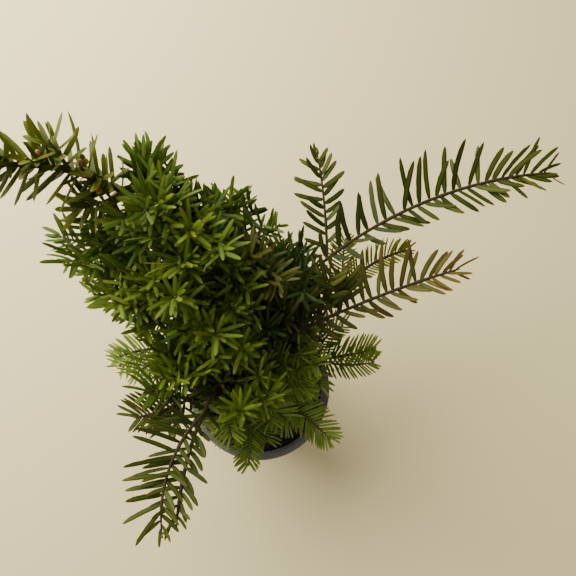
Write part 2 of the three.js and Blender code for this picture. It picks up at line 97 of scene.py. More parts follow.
POT_DUST = (0.135, 0.125, 0.108, 1)


def add_object(name, data):
    """Adds an object to the scene."""
    made = bpy.data.objects.new(name, data)
    bpy.context.scene.collection.objects.link(made)
    return made


def make_object(name, vertices, faces=(), edges=()):
    """A mesh object at the origin, from places in millimetres."""
    mesh = bpy.data.meshes.new(name)
    mesh.from_pydata((np.asarray(vertices) * MM).tolist(), edges, faces)
    return add_object(name, mesh)


def turned(outline, sides):
    """The vertices and faces of a closed solid turned from (radius, height) points.

    The outline runs from the axis below to the axis above."""
    turn = np.arange(sides) * 2 * math.pi / sides
    around = np.column_stack([np.cos(turn), np.sin(turn)])
    rings = [np.column_stack([around * radius, np.full(sides, z)]) for radius, z in outline[1:-1]]
    foot = [0, 0, outline[0][1]]
    top = [0, 0, outline[-1][1]]
    vertices = np.vstack([[foot], *rings, [top]])
    last = len(vertices) - 1
    faces = []
    for k in range(sides):
        after = (k + 1) % sides
        faces.append((0, 1 + after, 1 + k))
        faces.append((last, last - sides + k, last - sides + after))
        for ring in range(len(rings) - 1):
            low = 1 + ring * sides
            faces.append((low + k, low + after, low + sides + after, low + sides + k))
    return vertices, faces


def settle(piece):
    """Makes a piece's modifiers part of its mesh."""
    depsgraph = bpy.context.evaluated_depsgraph_get()
    finished = piece.evaluated_get(depsgraph)
    mesh = bpy.data.meshes.new_from_object(finished, preserve_all_data_layers=True, depsgraph=depsgraph)
    piece.modifiers.clear()
    piece.data = mesh


def node(tree, kind, inputs=None, **settings):
    """Adds a node, sets it, and fills or links its inputs by name or number."""
    made = tree.nodes.new(kind)
    for key, value in settings.items():
        setattr(made, key, value)
    for key, value in (inputs or {}).items():
        if isinstance(value, bpy.types.NodeSocket):
            tree.links.new(value, made.inputs[key])
        else:
            made.inputs[key].default_value = value
    return made


def out(tree, kind, inputs=None, **settings):
    """Adds a node and gives its first output."""
    return node(tree, kind, inputs, **settings).outputs[0]


def new_material(name, base, roughness):
    """A material with its node tree and its Principled shader."""
    material = bpy.data.materials.new(name)
    material.use_nodes = True
    material.diffuse_color = base
    shader = material.node_tree.nodes["Principled BSDF"]
    shader.inputs["Base Color"].default_value = base
    shader.inputs["Roughness"].default_value = roughness
    return material, material.node_tree, shader


def noise(tree, place, scale, detail, roughness=0.5):
    """Cloudy noise about 0.5."""
    settings = {"Vector": place, "Scale": scale, "Detail": detail, "Roughness": roughness}
    return node(tree, "ShaderNodeTexNoise", settings).outputs["Fac"]


def ranged(tree, value, low=0.0, high=1.0, to_low=0.0, to_high=1.0):
    """A value between two limits, brought between two others."""
    limits = {"Value": value, "From Min": low, "From Max": high, "To Min": to_low, "To Max": to_high}
    return out(tree, "ShaderNodeMapRange", limits)


def blend(tree, share, first, second):
    """One colour turning into another."""
    return node(tree, "ShaderNodeMix", {"Factor": share, 6: first, 7: second}, data_type="RGBA").outputs[2]


def roughen(tree, shader, height, strength, distance):
    """Gives a material fine relief."""
    relief = out(tree, "ShaderNodeBump", {"Height": height, "Strength": strength, "Distance": distance})
    tree.links.new(relief, shader.inputs["Normal"])


def arc(centre, radius, start, end, steps):
    """Outline points on an arc, in degrees from the outward side."""
    turns = np.radians(np.linspace(start, end, steps))
    return [(centre[0] + radius * math.cos(a), centre[1] + radius * math.sin(a)) for a in turns]


def pot_wall(z):
    """The pot's outer radius at a height."""
    top = POT_RIM - LIP_WIDTH + POT_WALL
    return POT_FOOT + (top - POT_FOOT) * z / POT_HEIGHT


lip_foot = POT_HEIGHT - LIP_HEIGHT
lip_inside = POT_RIM - POT_WALL
hollow_top = POT_HEIGHT - HOLLOW_TOP
pot_outline = [
    (0, 0),
    (HUB, 0),
    (HOLE_CIRCLE + HOLE_MARGIN, 0),
    *arc((POT_FOOT - FOOT_ROUND, FOOT_ROUND), FOOT_ROUND, -90, -8, 5),
    (pot_wall(PANEL_FOOT), PANEL_FOOT),
    (pot_wall(PANEL_FOOT) - PANEL_DEPTH, PANEL_FOOT + PANEL_STEP),
    *[(pot_wall(z) - PANEL_DEPTH, z) for z in PANEL_RINGS],
    (pot_wall(PANEL_TOP) - PANEL_DEPTH, PANEL_TOP - PANEL_STEP),
    (pot_wall(PANEL_TOP), PANEL_TOP),
    (pot_wall(lip_foot), lip_foot),
    (pot_wall(hollow_top), hollow_top),
    *arc((pot_wall(hollow_top) + HOLLOW_ROUND, hollow_top + HOLLOW_RISE), HOLLOW_ROUND, 180, 90, 4),
    (lip_inside - 2 * LIP_EDGE, POT_HEIGHT - LIP_ROUND),
    (lip_inside, POT_HEIGHT - HOLLOW_SHOULDER),
    (lip_inside, lip_foot + LIP_FOOT_STEP),
    (lip_inside + LIP_EDGE, lip_foot),
    (POT_RIM - LIP_EDGE, lip_foot),
    (POT_RIM, lip_foot + LIP_EDGE),
    *arc((POT_RIM - LIP_ROUND, POT_HEIGHT - LIP_ROUND), LIP_ROUND, 0, 90, 7),
    *arc((POT_RIM - LIP_WIDTH + BROW_ROUND, POT_HEIGHT - BROW_ROUND), BROW_ROUND, 90, 175, 5),
    *[(pot_wall(z) - POT_WALL, z) for z in INSIDE_RINGS],
    (pot_wall(POT_FLOOR + FLOOR_ROUND) - POT_WALL, POT_FLOOR + FLOOR_ROUND),
    (pot_wall(POT_FLOOR) - POT_WALL - FLOOR_ROUND, POT_FLOOR),
    (HOLE_CIRCLE + HOLE_MARGIN, POT_FLOOR),
    (HUB, POT_FLOOR),
    (0, POT_FLOOR),
]
pot = make_object("yew_pot", *turned(pot_outline, POT_SIDES))
punch_outline = [(0, PUNCH_FOOT), (HOLE_RADIUS, PUNCH_FOOT), (HOLE_RADIUS, PUNCH_TOP), (0, PUNCH_TOP)]
punch_vertices = []
punch_faces = []
for k in range(HOLES):
    angle = 2 * math.pi * k / HOLES
    column, sides = turned(punch_outline, HOLE_SIDES)
    column = column + [HOLE_CIRCLE * math.cos(angle), HOLE_CIRCLE * math.sin(angle), 0]
    first = len(punch_vertices)
    punch_faces.extend([tuple(first + i for i in face) for face in sides])
    punch_vertices.extend(column.tolist())
punch = make_object("punch", punch_vertices, punch_faces)
cut = pot.modifiers.new("drainage", "BOOLEAN")
cut.object = punch
cut.operation = "DIFFERENCE"
cut.solver = "EXACT"
settle(pot)
bpy.data.objects.remove(punch)
pot.data.shade_smooth()
pot.data.set_sharp_from_angle(angle=math.radians(POT_CREASE))

# The plastic is dusty in patches, a little worn in streaks round it, and finely grained.
plastic, tree, shader = new_material("grey_plastic", POT_GREY, 0.5)
place = node(tree, "ShaderNodeTexCoord").outputs["Object"]
dusty = ranged(tree, noise(tree, place, 45, 4, 0.6), 0.42, 0.7, to_high=0.55)
tree.links.new(blend(tree, dusty, POT_GREY, POT_DUST), shader.inputs["Base Color"])
streaks = out(tree, "ShaderNodeMapping", {"Vector": place, "Scale": (30, 30, 900)})
worn = ranged(tree, noise(tree, streaks, 3, 5, 0.75), 0.56, 0.74, 0.44, 0.62)
tree.links.new(worn, shader.inputs["Roughness"])
roughen(tree, shader, noise(tree, place, 420, 3, 0.7), 0.12, 0.0003)
pot.data.materials.clear()
pot.data.materials.append(plastic)
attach(pot, "root")
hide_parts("pot")

# ---------------------------------------------------------------- compost
# Dark peaty compost fills the pot to a thumb's width below the rim. Its surface is lumpy, and
# crumbs, bits of bark and a few pale specks of grit lie loose on it.

COMPOST_LEVEL = 98.0
COMPOST_EDGE = 1.2
COMPOST_GAP = 0.3
COMPOST_BEVEL = 0.3
COMPOST_SHOULDER = 1.5
COMPOST_HUB = 2
COMPOST_SIDES = 120
COMPOST_RINGS = 44
LUMP_HEIGHT = 2.2
LUMPS_PER_METRE = 95
LUMP_MIDDLE = 0.52
TOP_BAND = 0.5
LUMPY_BAND = 2
CRUMB_SIZE = 1.5
CRUMBS_PER_CM2 = 16
SPECK_SIZE = 0.7
SPECKS_PER_CM2 = 0.5
CHIP_SIZE = 3.4
CHIPS_PER_CM2 = 0.9
LEAST_SIZE = (0.25, 0.2, 0.3)
MOST_SIZE = (1.1, 0.8, 1)
CM2 = 1e4
COMPOST_BLACK = (0.0075, 0.0058, 0.0044, 1)
COMPOST_BROWN = (0.028, 0.019, 0.012, 1)
GRIT_GREY = (0.2, 0.18, 0.15, 1)
CHIP_BROWN = (0.045, 0.026, 0.014, 1)


def new_tree(name, **sockets):
    """A Geometry Nodes tree with geometry in and out, the named inputs and a material."""
    tree = bpy.data.node_groups.new(name, "GeometryNodeTree")
    tree.interface.new_socket("Geometry", in_out="OUTPUT", socket_type="NodeSocketGeometry")
    tree.interface.new_socket("Geometry", in_out="INPUT", socket_type="NodeSocketGeometry")
    for label, kind in [*sockets.items(), ("Material", "Material")]:
        tree.interface.new_socket(label.replace("_", " "), in_out="INPUT", socket_type="NodeSocket" + kind)
    return tree, tree.nodes.new("NodeGroupInput").outputs


def smoothed(tree, geometry):
    """Geometry with smooth shading."""
    return out(tree, "GeometryNodeSetShadeSmooth", {0: geometry})


def end_tree(tree, geometry, material):
    """Ends a tree in real geometry with its material."""
    real = out(tree, "GeometryNodeRealizeInstances", {0: geometry})
    dressed = out(tree, "GeometryNodeSetMaterial", {"Geometry": real, "Material": material})
    node(tree, "NodeGroupOutput", {0: dressed})


def grow_with(piece, tree, **values):
    """Runs a tree on a piece, with values for its named inputs, and keeps the mesh it makes."""
    modifier = piece.modifiers.new("shape", "NODES")
    modifier.node_group = tree
    for socket in tree.interface.items_tree:
        label = socket.name.replace(" ", "_")
        if socket.in_out == "INPUT" and label in values:
            modifier[socket.identifier] = values[label]
    settle(piece)


def worked(tree, operation, first, second):
    """One step of arithmetic in a node tree."""
    return out(tree, "ShaderNodeMath", {0: first, 1: second}, operation=operation)


def top_of(tree, level):
    """Which points stand above a level, and where they are."""
    position = out(tree, "GeometryNodeInputPosition")
    height = node(tree, "ShaderNodeSeparateXYZ", {0: position}).outputs["Z"]
    return out(tree, "FunctionNodeCompare", {"A": height, "B": level}, operation="GREATER_THAN"), position


soil, tree, shader = new_material("compost", COMPOST_BLACK, 0.92)
place = node(tree, "ShaderNodeTexCoord").outputs["Object"]
clod = noise(tree, place, 260, 6, 0.7)
brown = ranged(tree, clod, 0.48, 0.72)
tree.links.new(blend(tree, brown, COMPOST_BLACK, COMPOST_BROWN), shader.inputs["Base Color"])
roughen(tree, shader, clod, 0.7, 0.001)

lumpy, given = new_tree("lumpy_ground", Level="Float", Lump_Height="Float", Lumps="Float")
on_top, position = top_of(lumpy, given["Level"])
centred = worked(lumpy, "SUBTRACT", noise(lumpy, position, given["Lumps"], 4), LUMP_MIDDLE)
rise = worked(lumpy, "MULTIPLY", centred, given["Lump Height"])
lift = out(lumpy, "ShaderNodeCombineXYZ", {"Z": rise})
raised = {"Geometry": given["Geometry"], "Selection": on_top, "Offset": lift}
end_tree(lumpy, smoothed(lumpy, out(lumpy, "GeometryNodeSetPosition", raised)), given["Material"])

compost_radius = pot_wall(COMPOST_LEVEL) - POT_WALL - COMPOST_GAP
foot_radius = pot_wall(POT_FLOOR) - POT_WALL - COMPOST_GAP
top_radii = np.linspace(compost_radius - COMPOST_SHOULDER, COMPOST_HUB, COMPOST_RINGS)
compost_outline = [
    (0, POT_FLOOR + COMPOST_GAP),
    (foot_radius, POT_FLOOR + COMPOST_GAP),
    (compost_radius - COMPOST_BEVEL, COMPOST_LEVEL - COMPOST_EDGE),
    *[(radius, COMPOST_LEVEL) for radius in top_radii],
    (0, COMPOST_LEVEL),
]
compost = make_object("yew_compost", *turned(compost_outline, COMPOST_SIDES))
grow_with(
    compost,
    lumpy,
    Level=(COMPOST_LEVEL - TOP_BAND) * MM,
    Lump_Height=2 * LUMP_HEIGHT * MM,
    Lumps=LUMPS_PER_METRE,
    Material=soil,
)
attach(compost, "root")
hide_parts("compost")


def random_vector(tree, least, most, seed):
    """A random vector for each point, between two others."""
    return out(tree, "FunctionNodeRandomValue", {0: least, 1: most, "Seed": seed}, data_type="FLOAT_VECTOR")


def set_on(tree, points, instance, rotation, scale):
    """A copy of an instance at each point."""
    copies = {"Points": points, "Instance": instance, "Rotation": rotation, "Scale": scale}
    return out(tree, "GeometryNodeInstanceOnPoints", copies)


# Blender blends the choice of points over each face, so bits are strewn down the compost's
# sides too, fewer towards its foot. The pot's wall hides them, except that some bark chips
# are long enough to come through it.
scatter, given = new_tree(
    "scatter_on_ground", Level="Float", Density="Float", Size="Float", Flatness="Float", Seed="Int"
)
on_top = top_of(scatter, given["Level"])[0]
sown = {0: given["Geometry"], "Selection": on_top, "Density": given["Density"], "Seed": given["Seed"]}
spots = out(scatter, "GeometryNodeDistributePointsOnFaces", sown)
lump = out(scatter, "GeometryNodeMeshIcoSphere", {"Radius": given["Size"], "Subdivisions": 1})
turn = random_vector(scatter, (0, 0, 0), (math.pi, math.pi, math.pi), 3)
spread = random_vector(scatter, LEAST_SIZE, MOST_SIZE, given["Seed"])
pressed = out(scatter, "ShaderNodeCombineXYZ", {"X": 1.0, "Y": 1.0, "Z": given["Flatness"]})
sized = out(scatter, "ShaderNodeVectorMath", {0: spread, 1: pressed}, operation="MULTIPLY")
end_tree(scatter, set_on(scatter, spots, lump, turn, sized), given["Material"])

grit = new_material("grit", GRIT_GREY, 0.8)[0]
chip_bark = new_material("bark_chips", CHIP_BROWN, 0.85)[0]
for name, density, size, flatness, seed, material in [
    ("compost_crumbs", CRUMBS_PER_CM2, CRUMB_SIZE, 0.9, 4, soil),
    ("compost_grit", SPECKS_PER_CM2, SPECK_SIZE, 0.8, 9, grit),
    ("compost_chips", CHIPS_PER_CM2, CHIP_SIZE, 0.25, 15, chip_bark),
]:
    loose = add_object(name, compost.data.copy())
    grow_with(
        loose,
        scatter,
        Level=(COMPOST_LEVEL - LUMPY_BAND) * MM,
        Density=density * CM2,
        Size=size * MM,
        Flatness=flatness,
        Seed=seed,
        Material=material,
    )
    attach(loose, "root")

# ---------------------------------------------------------------- trunk and boughs
# One woody trunk leans back to the left as it rises and thins steadily. It flares where it
# enters the compost. Short boughs leave it all the way up, and the bark is brown and fibrous.

TRUNK_FOOT = 4.1
TRUNK_TIP = 1.9
FLARE = 2.6
FLARE_HEIGHT = 7.0
BOUGH_ROOT = 2.1
BOUGH_TIP = 1.45
COLLAR = 0.5
COLLAR_LENGTH = 5.0
CLEARANCE = 0.3
BARK_RELIEF = 0.55
BARK_MIDDLE = 0.6
BARK_FURROW = (0.03, 0.02, 0.01, 1)
BARK_FLAKE = (0.1, 0.067, 0.036, 1)
GRAIN_SHIFT = 7.0
COURSE_PARTS = 24
LIMB_SIDES = 20
LIMB_STEP = 1.6
FEWEST_STEPS = 8
SUNK = 3.0

# A limb or shoot leaves its carrier at a place from 0 (foot) to 1 (tip), sets out at a heading
# (degrees, anticlockwise from +X seen from above) and a rise above level, turns by a sweep
# (sideways) and an arch (upwards), and has a length.
TRUNK_GROWTH = (0, 120, 70, 5, -35, 235)
BOUGH_GROWTHS = {
    "middle": (0.47, 110, 45, -20, 30, 48),
    "back": (0.38, 95, 0, 5, 75, 90),
    "back_low": (0.28, 80, -20, 15, 80, 95),
    "olive": (0.34, 60, 5, 30, 85, 80),
    "left": (0.43, 155, 10, 0, 50, 45),
    "left_middle": (0.52, 150, 15, 5, 25, 46),
    "right": (0.24, 55, 0, -10, 45, 105),
    "right_inner": (0.3, 30, 10, 15, 25, 50),
    "bronze": (0.16, 50, 30, -30, 25, 55),
    "front": (0.31, 265, 40, -40, 15, 55),
    "front_left": (0.25, 215, 10, 15, 60, 55),
    "low_left": (0.18, 165, -30, -5, 75, 55),
    "low_right": (0.13, 35, -5, 10, 30, 80),
    "low_front": (0.1, 0, -15, 40, 50, 50),
    "low_back": (0.15, 105, -25, -40, 80, 75),
    "back_left": (0.33, 115, 15, 20, 10, 75),
}


class Course:
    """The centre line of a trunk, bough or shoot, which turns steadily as it goes."""

    def __init__(self, foot, growth):
        self.at, self.heading, self.rise, self.sweep, self.arch, self.length = growth
        middles = (np.arange(COURSE_PARTS) + 0.5) / COURSE_PARTS
        steps = self.frame(middles)[0] * (self.length / COURSE_PARTS)
        self.points = np.vstack([foot, foot + np.cumsum(steps, axis=0)])

    def frame(self, t):
        """The directions along the course, level across it and square to both."""
        heading = np.radians(self.heading + self.sweep * np.atleast_1d(t))
        rise = np.radians(self.rise + self.arch * np.atleast_1d(t))
        level = np.cos(rise)
        along = np.column_stack([level * np.cos(heading), level * np.sin(heading), np.sin(rise)])
        side = np.column_stack([-np.sin(heading), np.cos(heading), np.zeros(len(heading))])
        return along, side, np.cross(along, side)

    def place(self, t):
        """The places at shares from 0 (foot) to 1 (tip)."""
        spot = np.clip(np.atleast_1d(t), 0, 1) * (len(self.points) - 1)
        i = np.minimum(spot.astype(int), len(self.points) - 2)
        share = (spot - i)[:, None]
        return self.points[i] * (1 - share) + self.points[i + 1] * share


def seat_on(carrier, growth, radius):
    """Where a new limb of a given radius starts on its carrier."""
    at = growth[0]
    carrier_along = carrier.frame(at)[0][0]
    along = Course(np.zeros(3), growth).frame(0)[0][0]
    across = abs(float(along @ carrier_along))
    lean = math.sqrt(1 - across * across)
    if at == 1:
        return carrier.place(at)[0] + carrier_along * (CLEARANCE + radius * lean)
    reach = (carrier.radius_at(at) + CLEARANCE + radius * across) / lean
    return carrier.place(at)[0] + along * reach


def trunk_radius(t):
    """The trunk's radius, with its flare at the compost."""
    flare = FLARE * np.exp(-t * TRUNK_GROWTH[-1] / FLARE_HEIGHT)
    return TRUNK_FOOT + (TRUNK_TIP - TRUNK_FOOT) * t + flare


def bough_radius(t):
    """A bough's radius, without its collar."""
    return BOUGH_ROOT + (BOUGH_TIP - BOUGH_ROOT) * t


trunk = Course(np.array([0, 0, COMPOST_LEVEL + CLEARANCE]), TRUNK_GROWTH)
trunk.radius_at = trunk_radius
limbs = {"trunk": trunk}
for name, growth in BOUGH_GROWTHS.items():
    limbs[name] = Course(seat_on(trunk, growth, BOUGH_ROOT), growth)
    limbs[name].radius_at = bough_radius


def make_lines(name, lines, **attributes):
    """An object of open lines, with an attribute value for each of their points."""
    edges = []
    start = 0
    for line in lines:
        edges.extend((start + i, start + i + 1) for i in range(len(line) - 1))
        start += len(line)
    piece = make_object(name, np.vstack(lines), edges=edges)
    for label, values in attributes.items():
        values = np.concatenate(values)
        vector = values.ndim == 2
        layer = piece.data.attributes.new(label, "FLOAT_VECTOR" if vector else "FLOAT", "POINT")
        layer.data.foreach_set("vector" if vector else "value", values.ravel().astype(np.float32))
    return piece


def attribute(tree, name, kind="FLOAT"):
    """A mesh attribute read inside a Geometry Nodes tree."""
    return out(tree, "GeometryNodeInputNamedAttribute", {"Name": name}, data_type=kind)


def keep_as(tree, geometry, name, value, kind="FLOAT"):
    """Keeps a value with each point, as an attribute."""
    kept = {0: geometry, "Name": name, "Value": value}
    return out(tree, "GeometryNodeStoreNamedAttribute", kept, data_type=kind)


def added(tree, first, second):
    """The sum of two vectors in a node tree."""
    return out(tree, "ShaderNodeVectorMath", {0: first, 1: second}, operation="ADD")


def scaled(tree, vector, factor):
    """A vector made longer or shorter in a node tree."""
    return out(tree, "ShaderNodeVectorMath", {0: vector, "Scale": factor}, operation="SCALE")


def drawn_along(tree, curve, section, scale):
    """A section drawn along a curve, with closed ends."""
    parts = {"Curve": curve, "Profile Curve": section, "Scale": scale, "Fill Caps": True}
    return out(tree, "GeometryNodeCurveToMesh", parts)


# The bark's fibres run along the limb: its pattern is laid out by how far along the limb and
# how far round it a point lies, so it has no seam.
rod, given = new_tree("barked_rod", Sides="Int", Relief="Float", Fibres="Float", Knots_per_Metre="Float")
curve = out(rod, "GeometryNodeMeshToCurve", {0: given["Geometry"]})
length = node(rod, "GeometryNodeSplineParameter").outputs["Length"]
measured = keep_as(rod, curve, "run", length)
ring = out(rod, "GeometryNodeCurvePrimitiveCircle", {"Resolution": given["Sides"], "Radius": 1.0})
round_it = keep_as(rod, ring, "around", out(rod, "GeometryNodeInputPosition"), "FLOAT_VECTOR")
swept = drawn_along(rod, measured, round_it, attribute(rod, "thickness"))
knots = worked(rod, "MULTIPLY", attribute(rod, "run"), given["Knots per Metre"])
along = out(rod, "ShaderNodeCombineXYZ", {"Z": knots})
wrap = scaled(rod, attribute(rod, "around", "FLOAT_VECTOR"), given["Fibres"])
laid = added(rod, attribute(rod, "offset", "FLOAT_VECTOR"), added(rod, wrap, along))
marked = keep_as(rod, swept, "grain", laid, "FLOAT_VECTOR")
centred = worked(rod, "SUBTRACT", noise(rod, attribute(rod, "grain", "FLOAT_VECTOR"), 1.0, 3), BARK_MIDDLE)
depth = worked(rod, "MULTIPLY", centred, given["Relief"])
push = scaled(rod, out(rod, "GeometryNodeInputNormal"), depth)
barked = out(rod, "GeometryNodeSetPosition", {"Geometry": marked, "Offset": push})
end_tree(rod, smoothed(rod, barked), given["Material"])


def new_effect(name, inputs, outputs):
    """A shader node group with its named inputs and outputs, for several materials."""
    group = bpy.data.node_groups.new(name, "ShaderNodeTree")
    for in_out, sockets in [("INPUT", inputs), ("OUTPUT", outputs)]:
        for label, kind in sockets.items():
            group.interface.new_socket(label, in_out=in_out, socket_type="NodeSocket" + kind)
    return group, group.nodes.new("NodeGroupInput").outputs


bark_sockets = {"Furrow": "Color", "Flake": "Color"}, {"Colour": "Color", "Height": "Float"}
fibrous, given = new_effect("fibrous_bark", *bark_sockets)
grain = node(fibrous, "ShaderNodeAttribute", attribute_name="grain").outputs["Vector"]
fibre = noise(fibrous, grain, 1.0, 5, 0.65)
flake = noise(fibrous, grain, 4.0, 4, 0.7)
shade = ranged(fibrous, worked(fibrous, "ADD", fibre, flake), 0.8, 1.2)
mixed = blend(fibrous, shade, given["Furrow"], given["Flake"])
node(fibrous, "NodeGroupOutput", {"Colour": mixed, "Height": flake})


def bark_material(name, furrow, flake, roughness, bump):
    """Fibrous bark, darker in its furrows, with its pattern laid out along the limb."""
    material, tree, shader = new_material(name, furrow, roughness)
    shader.inputs["Specular IOR Level"].default_value = 0.15
    bark = node(tree, "ShaderNodeGroup", {"Furrow": furrow, "Flake": flake}, node_tree=fibrous).outputs
    tree.links.new(bark["Colour"], shader.inputs["Base Color"])
    roughen(tree, shader, bark["Height"], bump, 0.0004)
    return material


def bough_line(bough):
    """A bough's line from inside the trunk, and its radius, swollen where it leaves the trunk."""
    t = np.linspace(0, 1, max(FEWEST_STEPS, round(bough.length / LIMB_STEP)) + 1)
    radius = bough_radius(t) + COLLAR * np.exp(-t * bough.length / COLLAR_LENGTH)
    return np.vstack([trunk.place(bough.at), bough.place(t)]), np.concatenate([radius[:1], radius])


def grain_offsets(lines, shift):
    """What moves the bark's pattern on from one line to the next."""
    return [np.tile([0, 0, shift * k], (len(line), 1)) for k, line in enumerate(lines)]


t = np.linspace(0, 1, round(trunk.length / LIMB_STEP) + 1)
below = trunk.points[:1] - [0, 0, SUNK]
wood_lines = [np.vstack([below, trunk.place(t)])]
wood_radii = [np.concatenate([trunk_radius(t[:1]), trunk_radius(t)])]
for name in BOUGH_GROWTHS:
    line, radius = bough_line(limbs[name])
    wood_lines.append(line)
    wood_radii.append(radius)
wood = make_lines(
    "yew_wood",
    wood_lines,
    thickness=[radius * MM for radius in wood_radii],
    offset=grain_offsets(wood_lines, GRAIN_SHIFT),
)
grow_with(
    wood,
    rod,
    Sides=LIMB_SIDES,
    Relief=BARK_RELIEF * MM,
    Fibres=2.6,
    Knots_per_Metre=110,
    Material=bark_material("yew_bark", BARK_FURROW, BARK_FLAKE, 0.8, 0.6),
)
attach(wood, "root")
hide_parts("trunk", *["bough_" + name for name in BOUGH_GROWTHS])

# ---------------------------------------------------------------- twigs
# Each bough and the trunk itself carry shoots. Every mass is one main shoot, the shoots that
# branch from it, and fine twigs that leave these by turns. Young shoots are green, older ones
# brown, and the bases of the needles run down them as ridges.

DENSE = 2.0
CLOSE = 1.6
TWIG_ROOT = 1.4
TWIG_TIP = 0.8
TWIG_STEP = 3.5
FEWEST_TWIG_STEPS = 4
TWIG_SIDES = 7
TWIG_RELIEF = 0.4
TWIG_SHIFT = 3.0
BOUGH_END_TAPER = 0.95
TIP_NARROWING = 0.5
JOINT_SWELL = 0.35
JOINT_FIRST = 30
JOINT_SPACING = 42
JOINT_LENGTH = 2.5
FINE_ROOT = 0.75
FINE_TIP = 0.45
FINE_FIRST = 0.2
FINE_LAST = 0.75
FINE_LAST_STEEP = 0.6
FINE_TURN = 55
FINE_CURL = 25
FINE_ARCH = 30
FINE_LIFT_SWING = 22
STAR_TWIG_RISE = 30
STAR_TWIG_RISE_SWING = 20
STAR_TWIG_TURN_SWING = 30
STAR_TWIG_CURL = 10
STAR_TWIG_ARCH = 35
BOUGH_STEP = 7
STEP_SWING = 0.3
FINE_SHARE = 0.5
FINE_SHORTEST = 12.0
FINE_LONGEST = 30.0
FINE_TAPER = 1.15
FINE_LEAST = 0.85
FINE_SWING = 0.3
FINE_DROOP = 0.35
SPACE_MARGIN = 12.0
STAR_RISE = 48
LIMB_SAMPLES = 60
LONG_ARMS = {"right_fork": 1.3, "bronze": 1.25, "front": 1.04}
ALL_ROUND = ("leader",)
GOLDEN_ANGLE = 137.5
BROWN_TINTS = ("olive", "bronze", "deep")
GREEN_FURROW = (0.03, 0.04, 0.008, 1)
GREEN_FLAKE = (0.075, 0.085, 0.02, 1)
BROWN_FURROW = (0.014, 0.01, 0.004, 1)
BROWN_FLAKE = (0.06, 0.04, 0.018, 1)

